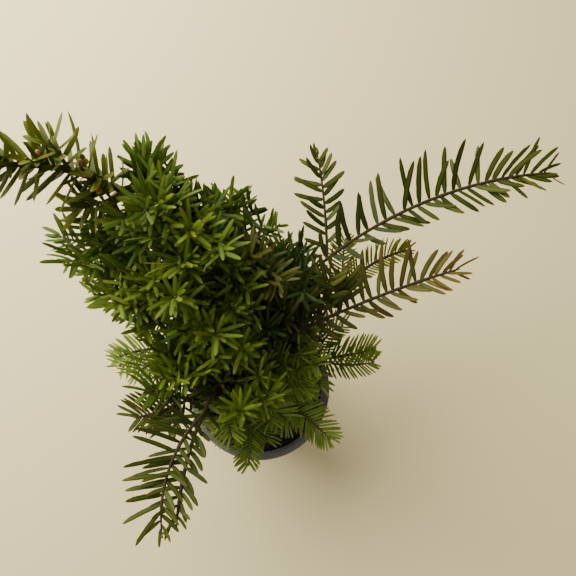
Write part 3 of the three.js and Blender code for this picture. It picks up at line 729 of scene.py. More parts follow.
# Each mass: what carries it, the colour that most and that some of its sprays take, how far
# apart its needles stand, their length against the usual one, the distance between its fine
# twigs (0 where it has none), and its shoots. The first shoot leaves the bough's tip or the
# trunk, and the others branch from the first. The bronze arm's side shoots all take its second
# colour, and needles on the boughs themselves are deep.
MASSES = {
    "leader": ("trunk", "ripe", "ripe", 2.0, 1.2, 0, [
        (1, 150, 25, 55, 0, 105),
        (0.1, 205, -20, -10, 35, 35),
        (0.42, 120, 70, 5, -25, 25),
        (0.35, 80, 60, 0, 0, 9),
        (0.58, 95, 60, 0, 0, 9),
        (0.2, 235, 50, 0, 0, 9),
        (0.15, 160, 75, 0, -20, 20),
        (0.55, 185, 70, 0, -20, 16),
        (0.75, 200, 60, 0, 0, 16),
    ]),
    "leader_star": ("trunk", "fresh", "green", DENSE, 0.8, 7, [
        (0.93, 30, 60, -105, 20, 40),
        (0.25, 40, 30, -95, 30, 30),
        (0.45, 240, 80, 20, -30, 25),
    ]),
    "upper_fan": ("trunk", "green", "ripe", DENSE, 0.82, 6, [
        (0.86, 85, 25, 25, 0, 56),
        (0.3, 115, 55, 0, -40, 40),
    ]),
    "upper_back": ("trunk", "green", "deep", DENSE, 0.8, 5, [
        (0.78, 65, 30, 20, 5, 45),
        (0.3, 50, 15, -20, 60, 30),
    ]),
    "left_upper": ("trunk", "green", "fresh", 2.3, 0.74, 12, [
        (0.73, 170, 25, -10, -30, 90),
        (0.3, 130, 30, 10, -15, 40),
        (0.62, 215, 10, -15, 10, 26),
        (0.5, 145, 35, 0, 20, 22),
    ]),
    "left_star": ("trunk", "fresh", "green", DENSE, 0.8, 5, [
        (0.65, 190, 30, -40, 80, 55),
    ]),
    "crown_star": ("middle", "fresh", "green", DENSE, 0.86, 6, [
        (1, 60, 60, 115, 50, 50),
        (0.2, 5, 45, -60, 0, 35),
        (0.25, 230, 35, 50, 25, 35),
    ]),
    "inner_star": ("trunk", "fresh", "green", DENSE, 0.82, 5, [
        (0.57, 245, 45, 85, 40, 45),
        (0.3, 225, 25, 10, 50, 25),
        (0.4, 315, 40, 10, 20, 35),
    ]),
    "back_star": ("back", "green", "fresh", DENSE, 0.8, 5, [
        (1, 85, 50, 75, 55, 45),
        (0.2, 40, 10, 40, 20, 30),
        (0.2, 125, 45, 70, 35, 28),
    ]),
    "back_flat": ("back_low", "green", "deep", 2.3, 0.58, 11, [
        (1, 90, 20, 5, -15, 50),
        (0.2, 350, 25, 55, -15, 32),
        (0.33, 144, 14, -20, 0, 22),
    ]),
    "olive_star": ("olive", "olive", "olive", DENSE, 0.82, 5, [
        (1, 95, 80, 15, 5, 40),
        (0.2, 325, 45, 0, -20, 32),
    ]),
    "left_brown": ("left", "pale", "fresh", DENSE, 0.8, 6, [
        (1, 175, 70, 5, -60, 65),
        (0.15, 240, 10, -5, 40, 30),
        (0.35, 229, 54, -20, 0, 26),
    ]),
    "left_middle": ("left_middle", "pale", "fresh", DENSE, 0.76, 6, [
        (1, 180, 30, -15, -25, 52),
    ]),
    "inner_left": ("trunk", "fresh", "green", DENSE, 0.82, 5, [
        (0.4, 205, 25, 105, 45, 55),
        (0.2, 170, 15, 10, 20, 40),
        (0.45, 185, 25, 0, 20, 40),
        (0.7, 200, 20, 0, 30, 35),
    ]),
    "right_fork": ("right", "olive", "olive", 3.6, 1.12, 0, [
        (1, 35, 30, -30, -35, 200),
        (0.05, 90, 5, 10, 5, 90),
    ]),
    "right_inner": ("right_inner", "deep", "deep", DENSE, 0.9, 6, [
        (1, 70, 30, -65, 55, 40),
        (0.1, 95, 20, -40, -15, 55),
    ]),
    "bronze": ("bronze", "bronze", "olive", 3.4, 1.04, 0, [
        (1, 25, 20, -10, -10, 145),
        (0.12, 165, 25, -15, 60, 45),
        (0.18, 85, 35, -20, -10, 42),
        (0.06, 80, 40, 0, 0, 34),
        (0.3, 75, 30, 10, -10, 30),
    ]),
    "inner_front": ("trunk", "fresh", "green", DENSE, 0.8, 5, [
        (0.4, 320, 60, -5, 20, 55),
        (0.3, 225, 40, 0, 30, 30),
    ]),
    "front": ("front", "olive", "olive", 3.2, 0.88, 0, [
        (1, 250, 50, 20, -35, 100),
        (0.22, 230, 50, 50, -45, 90),
    ]),
    "front_left": ("front_left", "olive", "green", CLOSE, 0.82, 14, [
        (1, 215, 30, -25, -20, 50),
        (0.15, 140, 45, 60, -25, 38),
        (0.33, 259, 28, -20, 0, 22),
    ]),
    "front_star": ("trunk", "fresh", "pale", DENSE, 0.75, 6, [
        (0.215, 275, 35, -10, 60, 85),
        (0.4, 170, 40, -10, -10, 40),
        (0.55, 20, 30, 0, 0, 30),
    ]),
    "low_left": ("low_left", "pale", "fresh", CLOSE, 0.66, 0, [
        (1, 170, 10, 30, -35, 70),
        (0.15, 265, 0, -85, -25, 42),
        (0.31, 231, -1, -20, 0, 35),
        (0.3, 120, 30, 20, -20, 30),
        (0.55, 215, -5, 0, -20, 28),
    ]),
    "low_right_far": ("low_right", "ripe", "pale", CLOSE, 0.6, 0, [
        (1, 60, 15, -45, -30, 105),
        (0.31, 98, 8, -20, 0, 43),
    ]),
    "low_right": ("low_front", "pale", "fresh", CLOSE, 0.66, 0, [
        (1, 5, 5, 10, -15, 60),
        (0.1, 340, 30, 35, -60, 55),
        (0.14, 100, 65, -80, -65, 45),
        (0.08, 280, 25, 0, -30, 26),
    ]),
    "rim_right": ("trunk", "pale", "fresh", CLOSE, 0.8, 0, [
        (0.07, 330, 35, -15, -70, 85),
        (0.35, 30, 10, 0, -10, 28),
    ]),
    "rim_front": ("trunk", "fresh", "pale", CLOSE, 0.7, 0, [
        (0.05, 265, 50, 0, -90, 75),
        (0.35, 235, 0, 0, -20, 28),
        (0.35, 295, 0, 0, -20, 28),
    ]),
    "rim_left": ("trunk", "pale", "fresh", CLOSE, 0.68, 12, [
        (0.12, 225, 45, 10, -75, 55),
        (0.4, 170, 45, 0, 10, 35),
        (0.6, 285, 40, 0, -30, 30),
    ]),
    "rim_middle": ("trunk", "pale", "fresh", CLOSE, 0.74, 14, [
        (0.12, 300, 35, 20, -70, 55),
    ]),
    "low_front": ("trunk", "pale", "fresh", CLOSE, 0.76, 12, [
        (0.14, 335, 15, 25, 5, 50),
        (0.3, 60, 35, 0, 0, 28),
        (0.5, 20, 30, 0, 0, 26),
    ]),
    "low_back": ("low_back", "deep", "green", DENSE, 0.86, 5, [
        (1, 120, 20, -5, -15, 70),
        (0.1, 25, 10, 55, -10, 50),
    ]),
    "back_left": ("back_left", "deep", "green", DENSE, 0.86, 5, [
        (1, 155, 10, 0, -5, 60),
        (0.34, 207, 6, -20, 0, 30),
    ]),
    "upper_star": ("trunk", "green", "fresh", DENSE, 0.8, 5, [
        (0.83, 70, 35, 60, 125, 55),
        (0.25, 0, 35, -60, 10, 30),
        (0.4, 255, 20, 15, 50, 30),
    ]),
    "upper_left": ("trunk", "green", "deep", DENSE, 0.8, 5, [
        (0.82, 165, 10, -90, 120, 55),
    ]),
    "middle_star": ("trunk", "fresh", "green", DENSE, 0.8, 5, [
        (0.61, 155, 70, 180, 0, 60),
        (0.25, 145, 25, 120, 45, 40),
        (0.3, 130, 70, -150, -15, 30),
    ]),
    "back_middle": ("trunk", "green", "olive", DENSE, 0.8, 5, [
        (0.62, 25, 35, 0, 45, 55),
        (0.3, 10, 40, -55, 0, 35),
    ]),
    "centre": ("trunk", "green", "fresh", DENSE, 0.8, 5, [
        (0.5, 45, 65, -115, 10, 55),
        (0.3, 340, 35, 35, 15, 35),
        (0.45, 155, 65, 0, 10, 30),
    ]),
    "centre_right": ("trunk", "deep", "olive", DENSE, 0.82, 5, [
        (0.3, 70, 45, -135, 30, 65),
        (0.3, 30, 30, -40, 15, 45),
    ]),
    "low_inner": ("trunk", "pale", "fresh", CLOSE, 0.74, 8, [
        (0.2, 20, 15, 0, 10, 60),
        (0.3, 5, 5, -30, 30, 45),
        (0.6, 60, 30, -10, 0, 32),
    ]),
    "centre_front": ("trunk", "pale", "fresh", CLOSE, 0.78, 9, [
        (0.27, 335, 40, -65, 45, 50),
        (0.3, 350, 0, 20, 70, 35),
    ]),
    "rim_inner": ("trunk", "deep", "green", DENSE, 0.86, 5, [
        (0.17, 205, 25, 30, 30, 55),
        (0.3, 245, 15, 20, 25, 35),
    ]),
}

masses = {}
for name, (carrier_name, *_, growths) in MASSES.items():
    carrier = limbs[carrier_name]
    main = Course(seat_on(carrier, growths[0], TWIG_ROOT), growths[0])
    main.carrier = carrier
    shoots = [main]
    for growth in growths[1:]:
        branch = Course(main.place(growth[0])[0], growth)
        branch.carrier = main
        shoots.append(branch)
    if carrier is not trunk:
        carrier.carrier = trunk
        shoots.append(carrier)
    for shoot in shoots:
        shoot.fine = False
    masses[name] = shoots

# Points along every mass's own shoots, for finding which mass's space a place lies in.
own_points = {name: np.vstack([shoot.points[::2] for shoot in shoots]) for name, shoots in masses.items()}
limb_points = np.vstack([limb.place(np.linspace(0, 1, LIMB_SAMPLES)) for limb in limbs.values()])


def nearest(points, places):
    """How far each place is from the nearest of some points."""
    gaps = places[:, None, :] - points[None, :, :]
    return np.sqrt((gaps * gaps).sum(axis=2).min(axis=1))


def in_space(name, places, margin):
    """Which places lie in a mass's space, which ends a little past half-way to the next mass."""
    own = nearest(own_points[name], places) - margin
    others = np.vstack([points for other, points in own_points.items() if other != name])
    return own < nearest(others, places)


def is_steep(shoot):
    """Whether a shoot rises so steeply that its twigs and needles stand all round it."""
    return abs(shoot.frame(0.5)[0][0, 2]) > math.sin(math.radians(STAR_RISE))


draw = np.random.default_rng(26)


def fine_twigs(name, shoot, step):
    """The fine twigs of one shoot, by turns to its sides, or all round a steep one."""
    steep = is_steep(shoot)
    last = FINE_LAST_STEEP if steep else FINE_LAST
    made = []
    for i in range(int(shoot.length * (last - FINE_FIRST) / step)):
        at = FINE_FIRST + step * (i + STEP_SWING * draw.random()) / shoot.length
        heading = shoot.heading + shoot.sweep * at
        rise = shoot.rise + shoot.arch * at
        hand = 1 if i % 2 == 0 else -1
        length = np.clip(shoot.length * FINE_SHARE * (FINE_TAPER - at), FINE_SHORTEST, FINE_LONGEST)
        length *= FINE_LEAST + FINE_SWING * draw.random()
        if steep:
            turn = heading + GOLDEN_ANGLE * i + STAR_TWIG_TURN_SWING * draw.random()
            lift = STAR_TWIG_RISE + STAR_TWIG_RISE_SWING * draw.random()
            growth = (at, turn, lift, hand * STAR_TWIG_CURL, STAR_TWIG_ARCH, length)
        else:
            lift = rise + FINE_LIFT_SWING * (draw.random() - FINE_DROOP)
            growth = (at, heading + hand * FINE_TURN, lift, -hand * FINE_CURL, FINE_ARCH, length)
        twig = Course(shoot.place(at)[0], growth)
        twig.carrier = shoot
        twig.fine = True
        clear = nearest(limb_points, twig.place([0.5, 1])).min() > TRUNK_FOOT
        if clear and in_space(name, twig.place([0.6, 1]), SPACE_MARGIN).all():
            made.append(twig)
    return made


for name, shoots in masses.items():
    for shoot in list(shoots):
        step = BOUGH_STEP if shoot in limbs.values() else MASSES[name][5]
        if step:
            shoots.extend(fine_twigs(name, shoot, step))


def twig_line(shoot):
    """A shoot's line from inside its carrier, and its radius, with slight yearly joints."""
    t = np.linspace(0, 1, max(FEWEST_TWIG_STEPS, round(shoot.length / TWIG_STEP)) + 1)
    root, tip = (FINE_ROOT, FINE_TIP) if shoot.fine else (TWIG_ROOT, TWIG_TIP)
    if shoot.at == 1:
        root = float(shoot.carrier.radius_at(1))
        tip = BOUGH_END_TAPER * root
    radius = (root + (tip - root) * t) * (1 - TIP_NARROWING * t**12)
    if not shoot.fine:
        past_joint = (t * shoot.length) % JOINT_SPACING - JOINT_FIRST
        radius += JOINT_SWELL * np.exp(-((past_joint / JOINT_LENGTH) ** 2))
    inside = shoot.carrier.place(shoot.at)
    return np.vstack([inside, shoot.place(t)]), np.concatenate([radius[:1], radius])


shoots_by_bark = {True: [], False: []}
for name, shoots in masses.items():
    for shoot in shoots:
        if shoot not in limbs.values():
            shoots_by_bark[MASSES[name][1] in BROWN_TINTS or shoot.at == 1].append(shoot)
for piece_name, brown, material in [
    ("green_twigs", False, bark_material("green_shoots", GREEN_FURROW, GREEN_FLAKE, 0.6, 0.3)),
    ("brown_twigs", True, bark_material("brown_shoots", BROWN_FURROW, BROWN_FLAKE, 0.75, 0.4)),
]:
    lines, radii = zip(*[twig_line(shoot) for shoot in shoots_by_bark[brown]])
    twigs = make_lines(
        piece_name,
        lines,
        thickness=[radius * MM for radius in radii],
        offset=grain_offsets(lines, TWIG_SHIFT),
    )
    grow_with(
        twigs,
        rod,
        Sides=TWIG_SIDES,
        Relief=TWIG_RELIEF * MM,
        Fibres=2.0,
        Knots_per_Metre=500,
        Material=material,
    )
    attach(twigs, "root")

# ---------------------------------------------------------------- needles
# A yew needle is a flat, soft, glossy blade with a raised rib, broadest past its middle, that
# ends in a short fine point. On level shoots the needles lie combed to both sides; on steep
# ones they stand all round, as stars. Sprays differ in colour: fresh ones are yellow-green.

NEEDLE_LENGTH = 26.0
NEEDLE_WIDTH = 3.3
SLIM = 0.75
NEEDLE_THICKNESS = 0.2
NEEDLE_MARGIN = 18.0
MIDDLE_CLEARANCE = 0.8 * TRUNK_FOOT
BOX_MARGIN = 1.0
LENGTH_SWING = 0.35
WIDTH_LEAST = 0.9
WIDTH_SWING = 0.2
FINE_NEEDLES = 0.9
TIP_SHORTENING = 0.4
SIDE_SHORTENING = 0.75
FOOT_LENGTH = 0.65
FOOT_GROWTH = 2.5
SEAT = 0.4
FEWEST_NEEDLES = 6
BARE_FOOT = 5.0
BARE_MOST = 0.15
BARE_BOUGH = 0.35
CROWDING = 0.78
RUN_SWING = 0.6
YOUNG_ORDER = 0.3
LIFT = 14
LIFT_SWING = 10
COMBED_SPREAD = 64
COMBED_TIP = 30
STAR_SPREAD = 80
LEADER_SPREAD = 74
LEADER_WIDTH = 1.35
ARM_SPREAD = 70
ARM_LEAN = 12
ARM_TUFT = 0.6
STAR_TIP = 24
STAR_PITCH = 0.72
ROLL_SWING = 30
ANGLE_SWING = 16
TILT_SWING = 40
BEND = 0.1
BEND_SWING = 0.5
SWAY = 0.2
ARM_SWAY = 0.35
SWAY_SWING = 0.4
LIGHT_SIDE = np.array([-0.5, 0.85, 0])
LIGHT_GAIN = 0.2
FRONT_GAIN = 0.5
FULL_LENGTH_FROM = 26.0
TO_TIP = 0.6
BOUGH_NEEDLES = 0.9
LONG_NEEDLES = 1.05
SIDE_SHOOT_NEEDLES = 0.74
SHORT_SIDE_SHOOT = 60.0
SHORT_SIDE_GAP = 0.75
FINE_GAP = 1.1
STATIONS = np.array([0.0, 0.06, 0.18, 0.48, 0.78, 0.93, 1.0])
STATION_WIDTHS = np.array([0.4, 0.68, 0.96, 1.0, 0.93, 0.58, 0.07])
TRIMS = (1, 0.82, 0.64)
SECOND_TINT_SHARE = 0.25
SHADE_PROBE = 8
SHADE_RISE = 6.0
SHADE_REACH = 13.0
SHADE_HALF = 20.0
YOUNG_SHADE = 0.15
OLDEST_TONE = 0.15
TONE_SWING = 0.5

# Each tint: the blade and its edges, the band along its rib, and its tip.
TINTS = {
    "fresh": ((0.08, 0.134, 0.01, 1), (0.128, 0.19, 0.02, 1), (0.188, 0.21, 0.022, 1)),
    "green": ((0.046, 0.09, 0.009, 1), (0.09, 0.142, 0.016, 1), (0.132, 0.156, 0.017, 1)),
    "ripe": ((0.1, 0.12, 0.006, 1), (0.06, 0.09, 0.005, 1), (0.19, 0.165, 0.014, 1)),
    "deep": ((0.016, 0.034, 0.006, 1), (0.029, 0.055, 0.008, 1), (0.048, 0.066, 0.01, 1)),
    "olive": ((0.034, 0.043, 0.006, 1), (0.086, 0.104, 0.01, 1), (0.105, 0.085, 0.014, 1)),
    "bronze": ((0.062, 0.055, 0.012, 1), (0.115, 0.11, 0.014, 1), (0.2, 0.085, 0.028, 1)),
    "pale": ((0.148, 0.212, 0.026, 1), (0.2, 0.284, 0.046, 1), (0.27, 0.306, 0.046, 1)),
}

box_low = np.array(cad_bounds[0]) / MM
box_high = np.array(cad_bounds[1]) / MM
twig_points = np.vstack([shoot.points[::4] for shoots in masses.values() for shoot in shoots])


def shade_at(places):
    """How many stretches of twig hang over each place, for painted shade on the needles below."""
    gaps = twig_points[None, :, :] - places[:, None, :]
    over = (gaps[:, :, 2] > SHADE_RISE) & (np.hypot(gaps[:, :, 0], gaps[:, :, 1]) < SHADE_REACH)
    return over.sum(axis=1)


def swings(count, size):
    """Random differences that lie evenly about 0."""
    return size * (draw.random(count) - 0.5)


def units(vectors):
    """Each direction at length 1."""
    return vectors / np.linalg.norm(vectors, axis=1)[:, None]


def square_to(vectors, directions):
    """What is left of each vector square to its own direction, at length 1."""
    return units(vectors - directions * (vectors * directions).sum(axis=1)[:, None])


def turn_between(first, second, angles):
    """Directions turned from a first towards a second, which stands square to it."""
    return first * np.cos(angles)[:, None] + second * np.sin(angles)[:, None]


def trimmed(name, root, heading, length):
    """The lengths that keep each tip in its mass's space, and which needles have one."""
    length = length.copy()
    kept = np.zeros(len(length), bool)
    for trim in TRIMS:
        tip = root + heading * (length * trim)[:, None]
        middle = root + heading * (length * trim * 0.5)[:, None]
        inside = ((tip > box_low + BOX_MARGIN) & (tip < box_high - BOX_MARGIN)).all(axis=1)
        inside &= in_space(name, tip, NEEDLE_MARGIN)
        inside &= nearest(limb_points, tip) > TRUNK_FOOT
        inside &= nearest(limb_points, middle) > MIDDLE_CLEARANCE
        now = inside & ~kept
        length[now] *= trim
        kept |= now
    return length, kept


def lay_needles(name, shoot, pitch, scale):
    """The midlines, half widths, upper sides and tones of one shoot's needles."""
    steep = name in ALL_ROUND or is_steep(shoot)
    young = MASSES[name][3] == CLOSE
    on_arm = name in LONG_ARMS
    on_bough = shoot in limbs.values()
    loose = YOUNG_ORDER if young else 1
    wander = 2 * ANGLE_SWING * loose

    # Where each needle stands along the shoot.
    bare = BARE_BOUGH if on_bough else min(BARE_FOOT / shoot.length, BARE_MOST)
    spacing = pitch * (STAR_PITCH if steep else 1)
    count = max(FEWEST_NEEDLES, round(shoot.length * (1 - bare) / spacing))
    order = np.arange(count)
    run = (order + 0.5 + swings(count, RUN_SWING)) / count
    t = bare + (1 - bare) * run**CROWDING

    # Where it points: out from the shoot, and leaning on towards the shoot's tip.
    along, side, upper = shoot.frame(t)
    if steep:
        roll = np.radians(GOLDEN_ANGLE * order + swings(count, ROLL_SWING))
        widest, narrowest = LEADER_SPREAD if name == "leader" else STAR_SPREAD, STAR_TIP
    else:
        lift = LIFT + np.where(order % 4 < 2, 1, -1) * LIFT_SWING * loose + swings(count, wander)
        roll = np.radians(np.where(order % 2 == 0, lift, 180 - lift))
        widest, narrowest = COMBED_SPREAD, COMBED_TIP
    out = turn_between(side, upper, roll)
    if on_arm:
        widest = ARM_SPREAD + ARM_LEAN * (out @ LIGHT_SIDE)
    spread = widest + (narrowest - widest) * run**4 + swings(count, wander) * (1 + run**6)
    heading = turn_between(along, out, np.radians(np.abs(spread)))

    # Which way its upper side faces: up or to the tip on steep shoots, off the twig on others.
    forward = square_to(along, heading)
    if steep:
        face = square_to(along * TO_TIP + [0, 0, 1], heading)
    else:
        face = units(np.cross(heading, forward))
        face = face * np.sign((face * upper).sum(axis=1))[:, None]
    tilt = np.radians(swings(count, TILT_SWING * loose))
    face = turn_between(face, np.cross(heading, face), tilt)

    # How long it is, with less at the shoot's foot and tip, and more on the side to the light.
    fine = FINE_NEEDLES if shoot.fine else 1
    shortening = SIDE_SHORTENING if on_arm and scale < 1 else TIP_SHORTENING
    grown = (1 - shortening * run**6) * np.minimum(1, FOOT_LENGTH + FOOT_GROWTH * (t - bare))
    length = NEEDLE_LENGTH * scale * fine * grown * (1 + swings(count, LENGTH_SWING * loose))
    length *= 1 + (FRONT_GAIN if name == "front" else LIGHT_GAIN) * (out @ LIGHT_SIDE)
    if not shoot.fine:
        length *= min(1, shoot.length / FULL_LENGTH_FROM)
    root = shoot.place(t) + out * (BOUGH_TIP if on_bough else SEAT)
    length, kept = trimmed(name, root, heading, length)

    # Its midline, which bends down and sways forward towards the tip.
    bend = swings(count, BEND_SWING) + BEND
    sway = (ARM_SWAY if on_arm else SWAY) + swings(count, SWAY_SWING)
    s = STATIONS[None, :, None]
    reach = length[:, None, None]
    line = root[:, None, :] + heading[:, None, :] * s * reach
    line = line + (forward * sway[:, None])[:, None, :] * s**2 * reach * 0.5
    line = line - (face * bend[:, None])[:, None, :] * s**2 * reach * 0.5

    # Its half width, and its tone from old and shaded (0) to young and lit (1).
    swing = WIDTH_LEAST + WIDTH_SWING * draw.random(count)
    width = 0.5 * NEEDLE_WIDTH * (SLIM if young else 1) * swing * (scale * fine) ** 0.5
    if name == "leader":
        width *= LEADER_WIDTH
    if on_arm:
        width *= LONG_ARMS[name] * scale**-0.4 * (1 - ARM_TUFT * run**8)
    # Painted shade: needles under overhanging twigs get a darker tone.
    shade = shade_at(root + heading * SHADE_PROBE) * (YOUNG_SHADE if young else 1)
    tone = OLDEST_TONE + (1 - OLDEST_TONE) * t**1.5 + swings(count, TONE_SWING)
    tone = np.clip(tone, 0, 1) / (1 + shade / SHADE_HALF)
    return line[kept], width[kept], face[kept], tone[kept]


# A blade's section has four corners: its rib on top, its two edges and its keel underneath.
blade, given = new_tree("needle_blade", Thickness="Float")
curve = out(blade, "GeometryNodeMeshToCurve", {0: given["Geometry"]})
upper_side = {0: curve, "Normal": attribute(blade, "face", "FLOAT_VECTOR")}
turned_up = out(blade, "GeometryNodeSetCurveNormal", upper_side, mode="FREE")
ring = out(blade, "GeometryNodeCurvePrimitiveCircle", {"Resolution": 4, "Radius": 1.0})
up = out(blade, "ShaderNodeSeparateXYZ", {0: out(blade, "GeometryNodeInputPosition")})
ribbed = keep_as(blade, ring, "rib", worked(blade, "GREATER_THAN", up, 0.9))
sided = keep_as(blade, ribbed, "under", worked(blade, "LESS_THAN", up, -0.1))
squeeze = out(blade, "ShaderNodeCombineXYZ", {"X": given["Thickness"], "Y": 1.0, "Z": 1.0})
flat = out(blade, "GeometryNodeTransform", {0: sided, "Scale": squeeze})
drawn = drawn_along(blade, turned_up, flat, attribute(blade, "half_width"))
fold = node(blade, "GeometryNodeInputMeshEdgeAngle").outputs["Unsigned Angle"]
sharp = worked(blade, "GREATER_THAN", fold, 0.9)
edges = {0: smoothed(blade, drawn), "Selection": sharp, "Shade Smooth": False}
end_tree(blade, out(blade, "GeometryNodeSetShadeSmooth", edges, domain="EDGE"), given["Material"])

# Along a needle the colour is darkest at its foot, where painted shade marks its join with the shoot;
# it has a band along the rib, and turns to its own tip colour at the end and on young needles.
# Underneath it is paler. Old needles are darker, and those under overhanging twigs take painted shade.
colour_sockets = {label: "Color" for label in ("Blade", "Rib", "Tip", "Under", "Shaded")}
colouring, given = new_effect("needle_colouring", colour_sockets, {"Colour": "Color"})
tone, rib, under, reach = [
    node(colouring, "ShaderNodeAttribute", attribute_name=name).outputs["Fac"]
    for name in ("tone", "rib", "under", "reach")
]
band = ranged(colouring, rib, 0.4, 0.85, to_high=0.75)
youth = ranged(colouring, tone, 0.65, to_high=0.3)
end = ranged(colouring, reach, 0.6, to_high=0.7)
# Painted shade at the needle's foot, where it meets the shoot.
foot = ranged(colouring, reach, high=0.35, to_low=0.45)
banded = blend(colouring, band, given["Blade"], given["Rib"])
tipped = blend(colouring, worked(colouring, "MAXIMUM", end, youth), banded, given["Tip"])
turned_over = blend(colouring, under, tipped, given["Under"])
# Old and overhung needles, and every foot, blend to the Shaded colour: partly age, partly painted shade.
shaded = blend(colouring, worked(colouring, "MULTIPLY", tone, foot), given["Shaded"], turned_over)
node(colouring, "NodeGroupOutput", {"Colour": shaded})


def needle_material(name, blade_colour, rib_colour, tip_colour):
    """A soft-sheened needle; its underside and its colour for old blades and painted shade follow its own.
    """
    material, tree, shader = new_material(name, blade_colour, 0.5)
    shader.inputs["Specular IOR Level"].default_value = 0.14
    shader.inputs["Specular Tint"].default_value = (0.85, 1, 0.6, 1)
    red, green, blue = blade_colour[:3]
    colours = {
        "Blade": blade_colour,
        "Rib": rib_colour,
        "Tip": tip_colour,
        "Under": (red * 1.2, green * 1.2, blue * 1.2, 1),
        # Shaded is a darker copy of the blade colour, for old needles and painted shade.
        "Shaded": (red * 0.4, green * 0.45, blue * 0.4, 1),
    }
    coloured = node(tree, "ShaderNodeGroup", colours, node_tree=colouring)
    tree.links.new(coloured.outputs["Colour"], shader.inputs["Base Color"])
    return material


laid = {tint: [] for tint in TINTS}
stood_for = {tint: [] for tint in TINTS}
bearers = []
for name, shoots in masses.items():
    tint, second_tint, pitch, needle_scale = MASSES[name][1:5]
    stood_for[tint].append("needles_" + name)
    for shoot in shoots:
        share = 1 if name == "bronze" else SECOND_TINT_SHARE
        second = draw.random() < share and shoot is not shoots[0]
        spray_tint = second_tint if second else tint
        if shoot in limbs.values():
            spray_tint = "deep"
            # These hold for the fine twigs along the bough too, which follow it.
            pitch, needle_scale = DENSE, BOUGH_NEEDLES
        else:
            bearers.append(shoot)
        scale = needle_scale
        if needle_scale >= LONG_NEEDLES and shoot is not shoots[0]:
            scale = needle_scale * SIDE_SHOOT_NEEDLES
        gap = FINE_GAP if shoot.fine else 1
        if name in LONG_ARMS and shoot.length < SHORT_SIDE_SHOOT:
            gap = SHORT_SIDE_GAP
        laid[spray_tint].append(lay_needles(name, shoot, pitch * gap, scale))

stations = len(STATIONS)
for tint, sprays in laid.items():
    lines, widths, faces, tones = [np.concatenate(parts) for parts in zip(*sprays)]
    needles = make_lines(
        tint + "_needles",
        list(lines),
        half_width=[width * STATION_WIDTHS * MM for width in widths],
        face=[np.tile(face, (stations, 1)) for face in faces],
        tone=[np.full(stations, tone) for tone in tones],
        reach=[STATIONS for _ in tones],
    )
    surface = needle_material("needles_" + tint, *TINTS[tint])
    grow_with(needles, blade, Thickness=NEEDLE_THICKNESS, Material=surface)
    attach(needles, "root")
    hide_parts(*stood_for[tint])

# ---------------------------------------------------------------- buds
# Each shoot ends in a small bud with brown scales, and the leading shoot's shortest side shoots
# in a plump rust-coloured one. Each bud is a stretched ball that sits on its shoot's tip.

BUD_LENGTH = 2.6
BUD_WIDTH = 1.6
BUD_SEAT = 0.8
FINE_BUD = 0.7
SHORT_SHOOT = 10.0
SHORT_SHOOT_BUD = 2.6
BUD_BROWN = (0.09, 0.06, 0.015, 1)
BUD_RUST = (0.3, 0.13, 0.045, 1)

bud_tree, given = new_tree("buds_on_tips", Length="Float", Width="Float")
spots = out(bud_tree, "GeometryNodeMeshToPoints", {0: given["Geometry"]})
ball = out(bud_tree, "GeometryNodeMeshUVSphere", {"Segments": 6, "Rings": 5, "Radius": 0.5})
spans = {"X": given["Width"], "Y": given["Width"], "Z": given["Length"]}
size = out(bud_tree, "ShaderNodeCombineXYZ", spans)
bud = out(bud_tree, "GeometryNodeTransform", {0: ball, "Scale": size})
aim = attribute(bud_tree, "aim", "FLOAT_VECTOR")
aimed = out(bud_tree, "FunctionNodeAlignRotationToVector", {"Vector": aim}, axis="Z")
seated = set_on(bud_tree, spots, bud, aimed, attribute(bud_tree, "plumpness"))
end_tree(bud_tree, smoothed(bud_tree, seated), given["Material"])

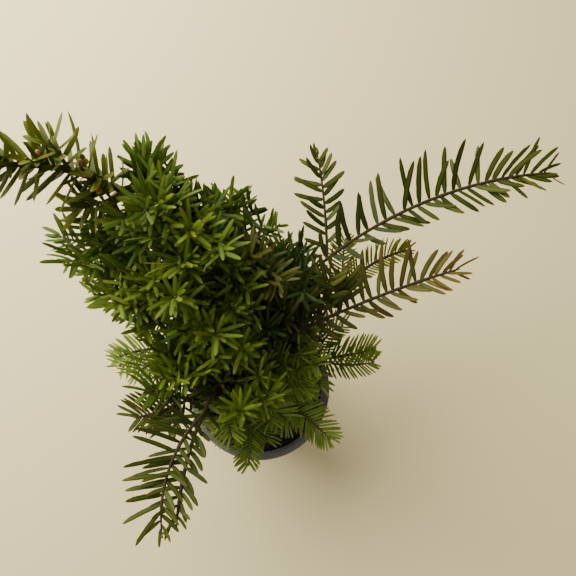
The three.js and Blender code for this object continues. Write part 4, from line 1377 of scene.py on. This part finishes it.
for piece_name, short, material in [
    ("tip_buds", False, new_material("bud_scales", BUD_BROWN, 0.5)[0]),
    ("plump_buds", True, new_material("plump_buds", BUD_RUST, 0.5)[0]),
]:
    here = [shoot for shoot in bearers if (shoot.length < SHORT_SHOOT) == short]
    ends = np.vstack([shoot.place(1) for shoot in here])
    aims = np.vstack([shoot.frame(1)[0] for shoot in here])
    plumpness = [SHORT_SHOOT_BUD if short else FINE_BUD if shoot.fine else 1.0 for shoot in here]
    seats = list((ends + aims * BUD_SEAT)[:, None])
    buds = make_lines(piece_name, seats, aim=[aims], plumpness=[plumpness])
    grow_with(buds, bud_tree, Length=BUD_LENGTH * MM, Width=BUD_WIDTH * MM, Material=material)
    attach(buds, "root")

# ---------------------------------------------------------------- floor, light and camera
# The pot stands on a plain pale floor under soft light: a window's from behind on the left, and
# a little of the room's from the front.

FLOOR_HALF = 2500
FLOOR_COLOUR = (0.78, 0.66, 0.34, 1)
LIGHT_COLOUR = (1, 0.97, 0.88)
ROOM_COLOUR = (1, 0.96, 0.9, 1)
ROOM_STRENGTH = 0.31

corners = [(x * FLOOR_HALF, y * FLOOR_HALF, 0) for x, y in [(-1, -1), (1, -1), (1, 1), (-1, 1)]]
floor = make_object("floor", corners, [(0, 1, 2, 3)])
floor.data.materials.append(new_material("pale_floor", FLOOR_COLOUR, 0.6)[0])

for name, spot, size, power in [
    ("window_light", (-0.68, 0.76, 0.8), 1.4, 52),
    ("room_light", (-0.4, -1.1, 1.4), 1.6, 8),
]:
    light = bpy.data.lights.new(name, "AREA")
    light.color = LIGHT_COLOUR
    light.size = size
    light.energy = power
    lamp = add_object(name, light)
    lamp.location = spot
    lamp.rotation_euler = Vector(spot).to_track_quat("Z", "Y").to_euler()

world = bpy.data.worlds.new("soft_room")
world.use_nodes = True
background = world.node_tree.nodes["Background"]
background.inputs["Color"].default_value = ROOM_COLOUR
background.inputs["Strength"].default_value = ROOM_STRENGTH
bpy.context.scene.world = world

CAMERA_PLACE = (26.5, -20.8, 653.5)
CAMERA_ELEVATION = 78
CAMERA_LENS = 36.06
CAMERA_SENSOR = 36
camera_data = bpy.data.cameras.new("camera")
camera_data.sensor_width = CAMERA_SENSOR
camera_data.lens = CAMERA_LENS
camera_data.clip_start = 0.01
camera = add_object("camera", camera_data)
camera.location = [value * MM for value in CAMERA_PLACE]
camera.rotation_euler = (math.radians(90 - CAMERA_ELEVATION), 0, 0)
bpy.context.scene.camera = camera
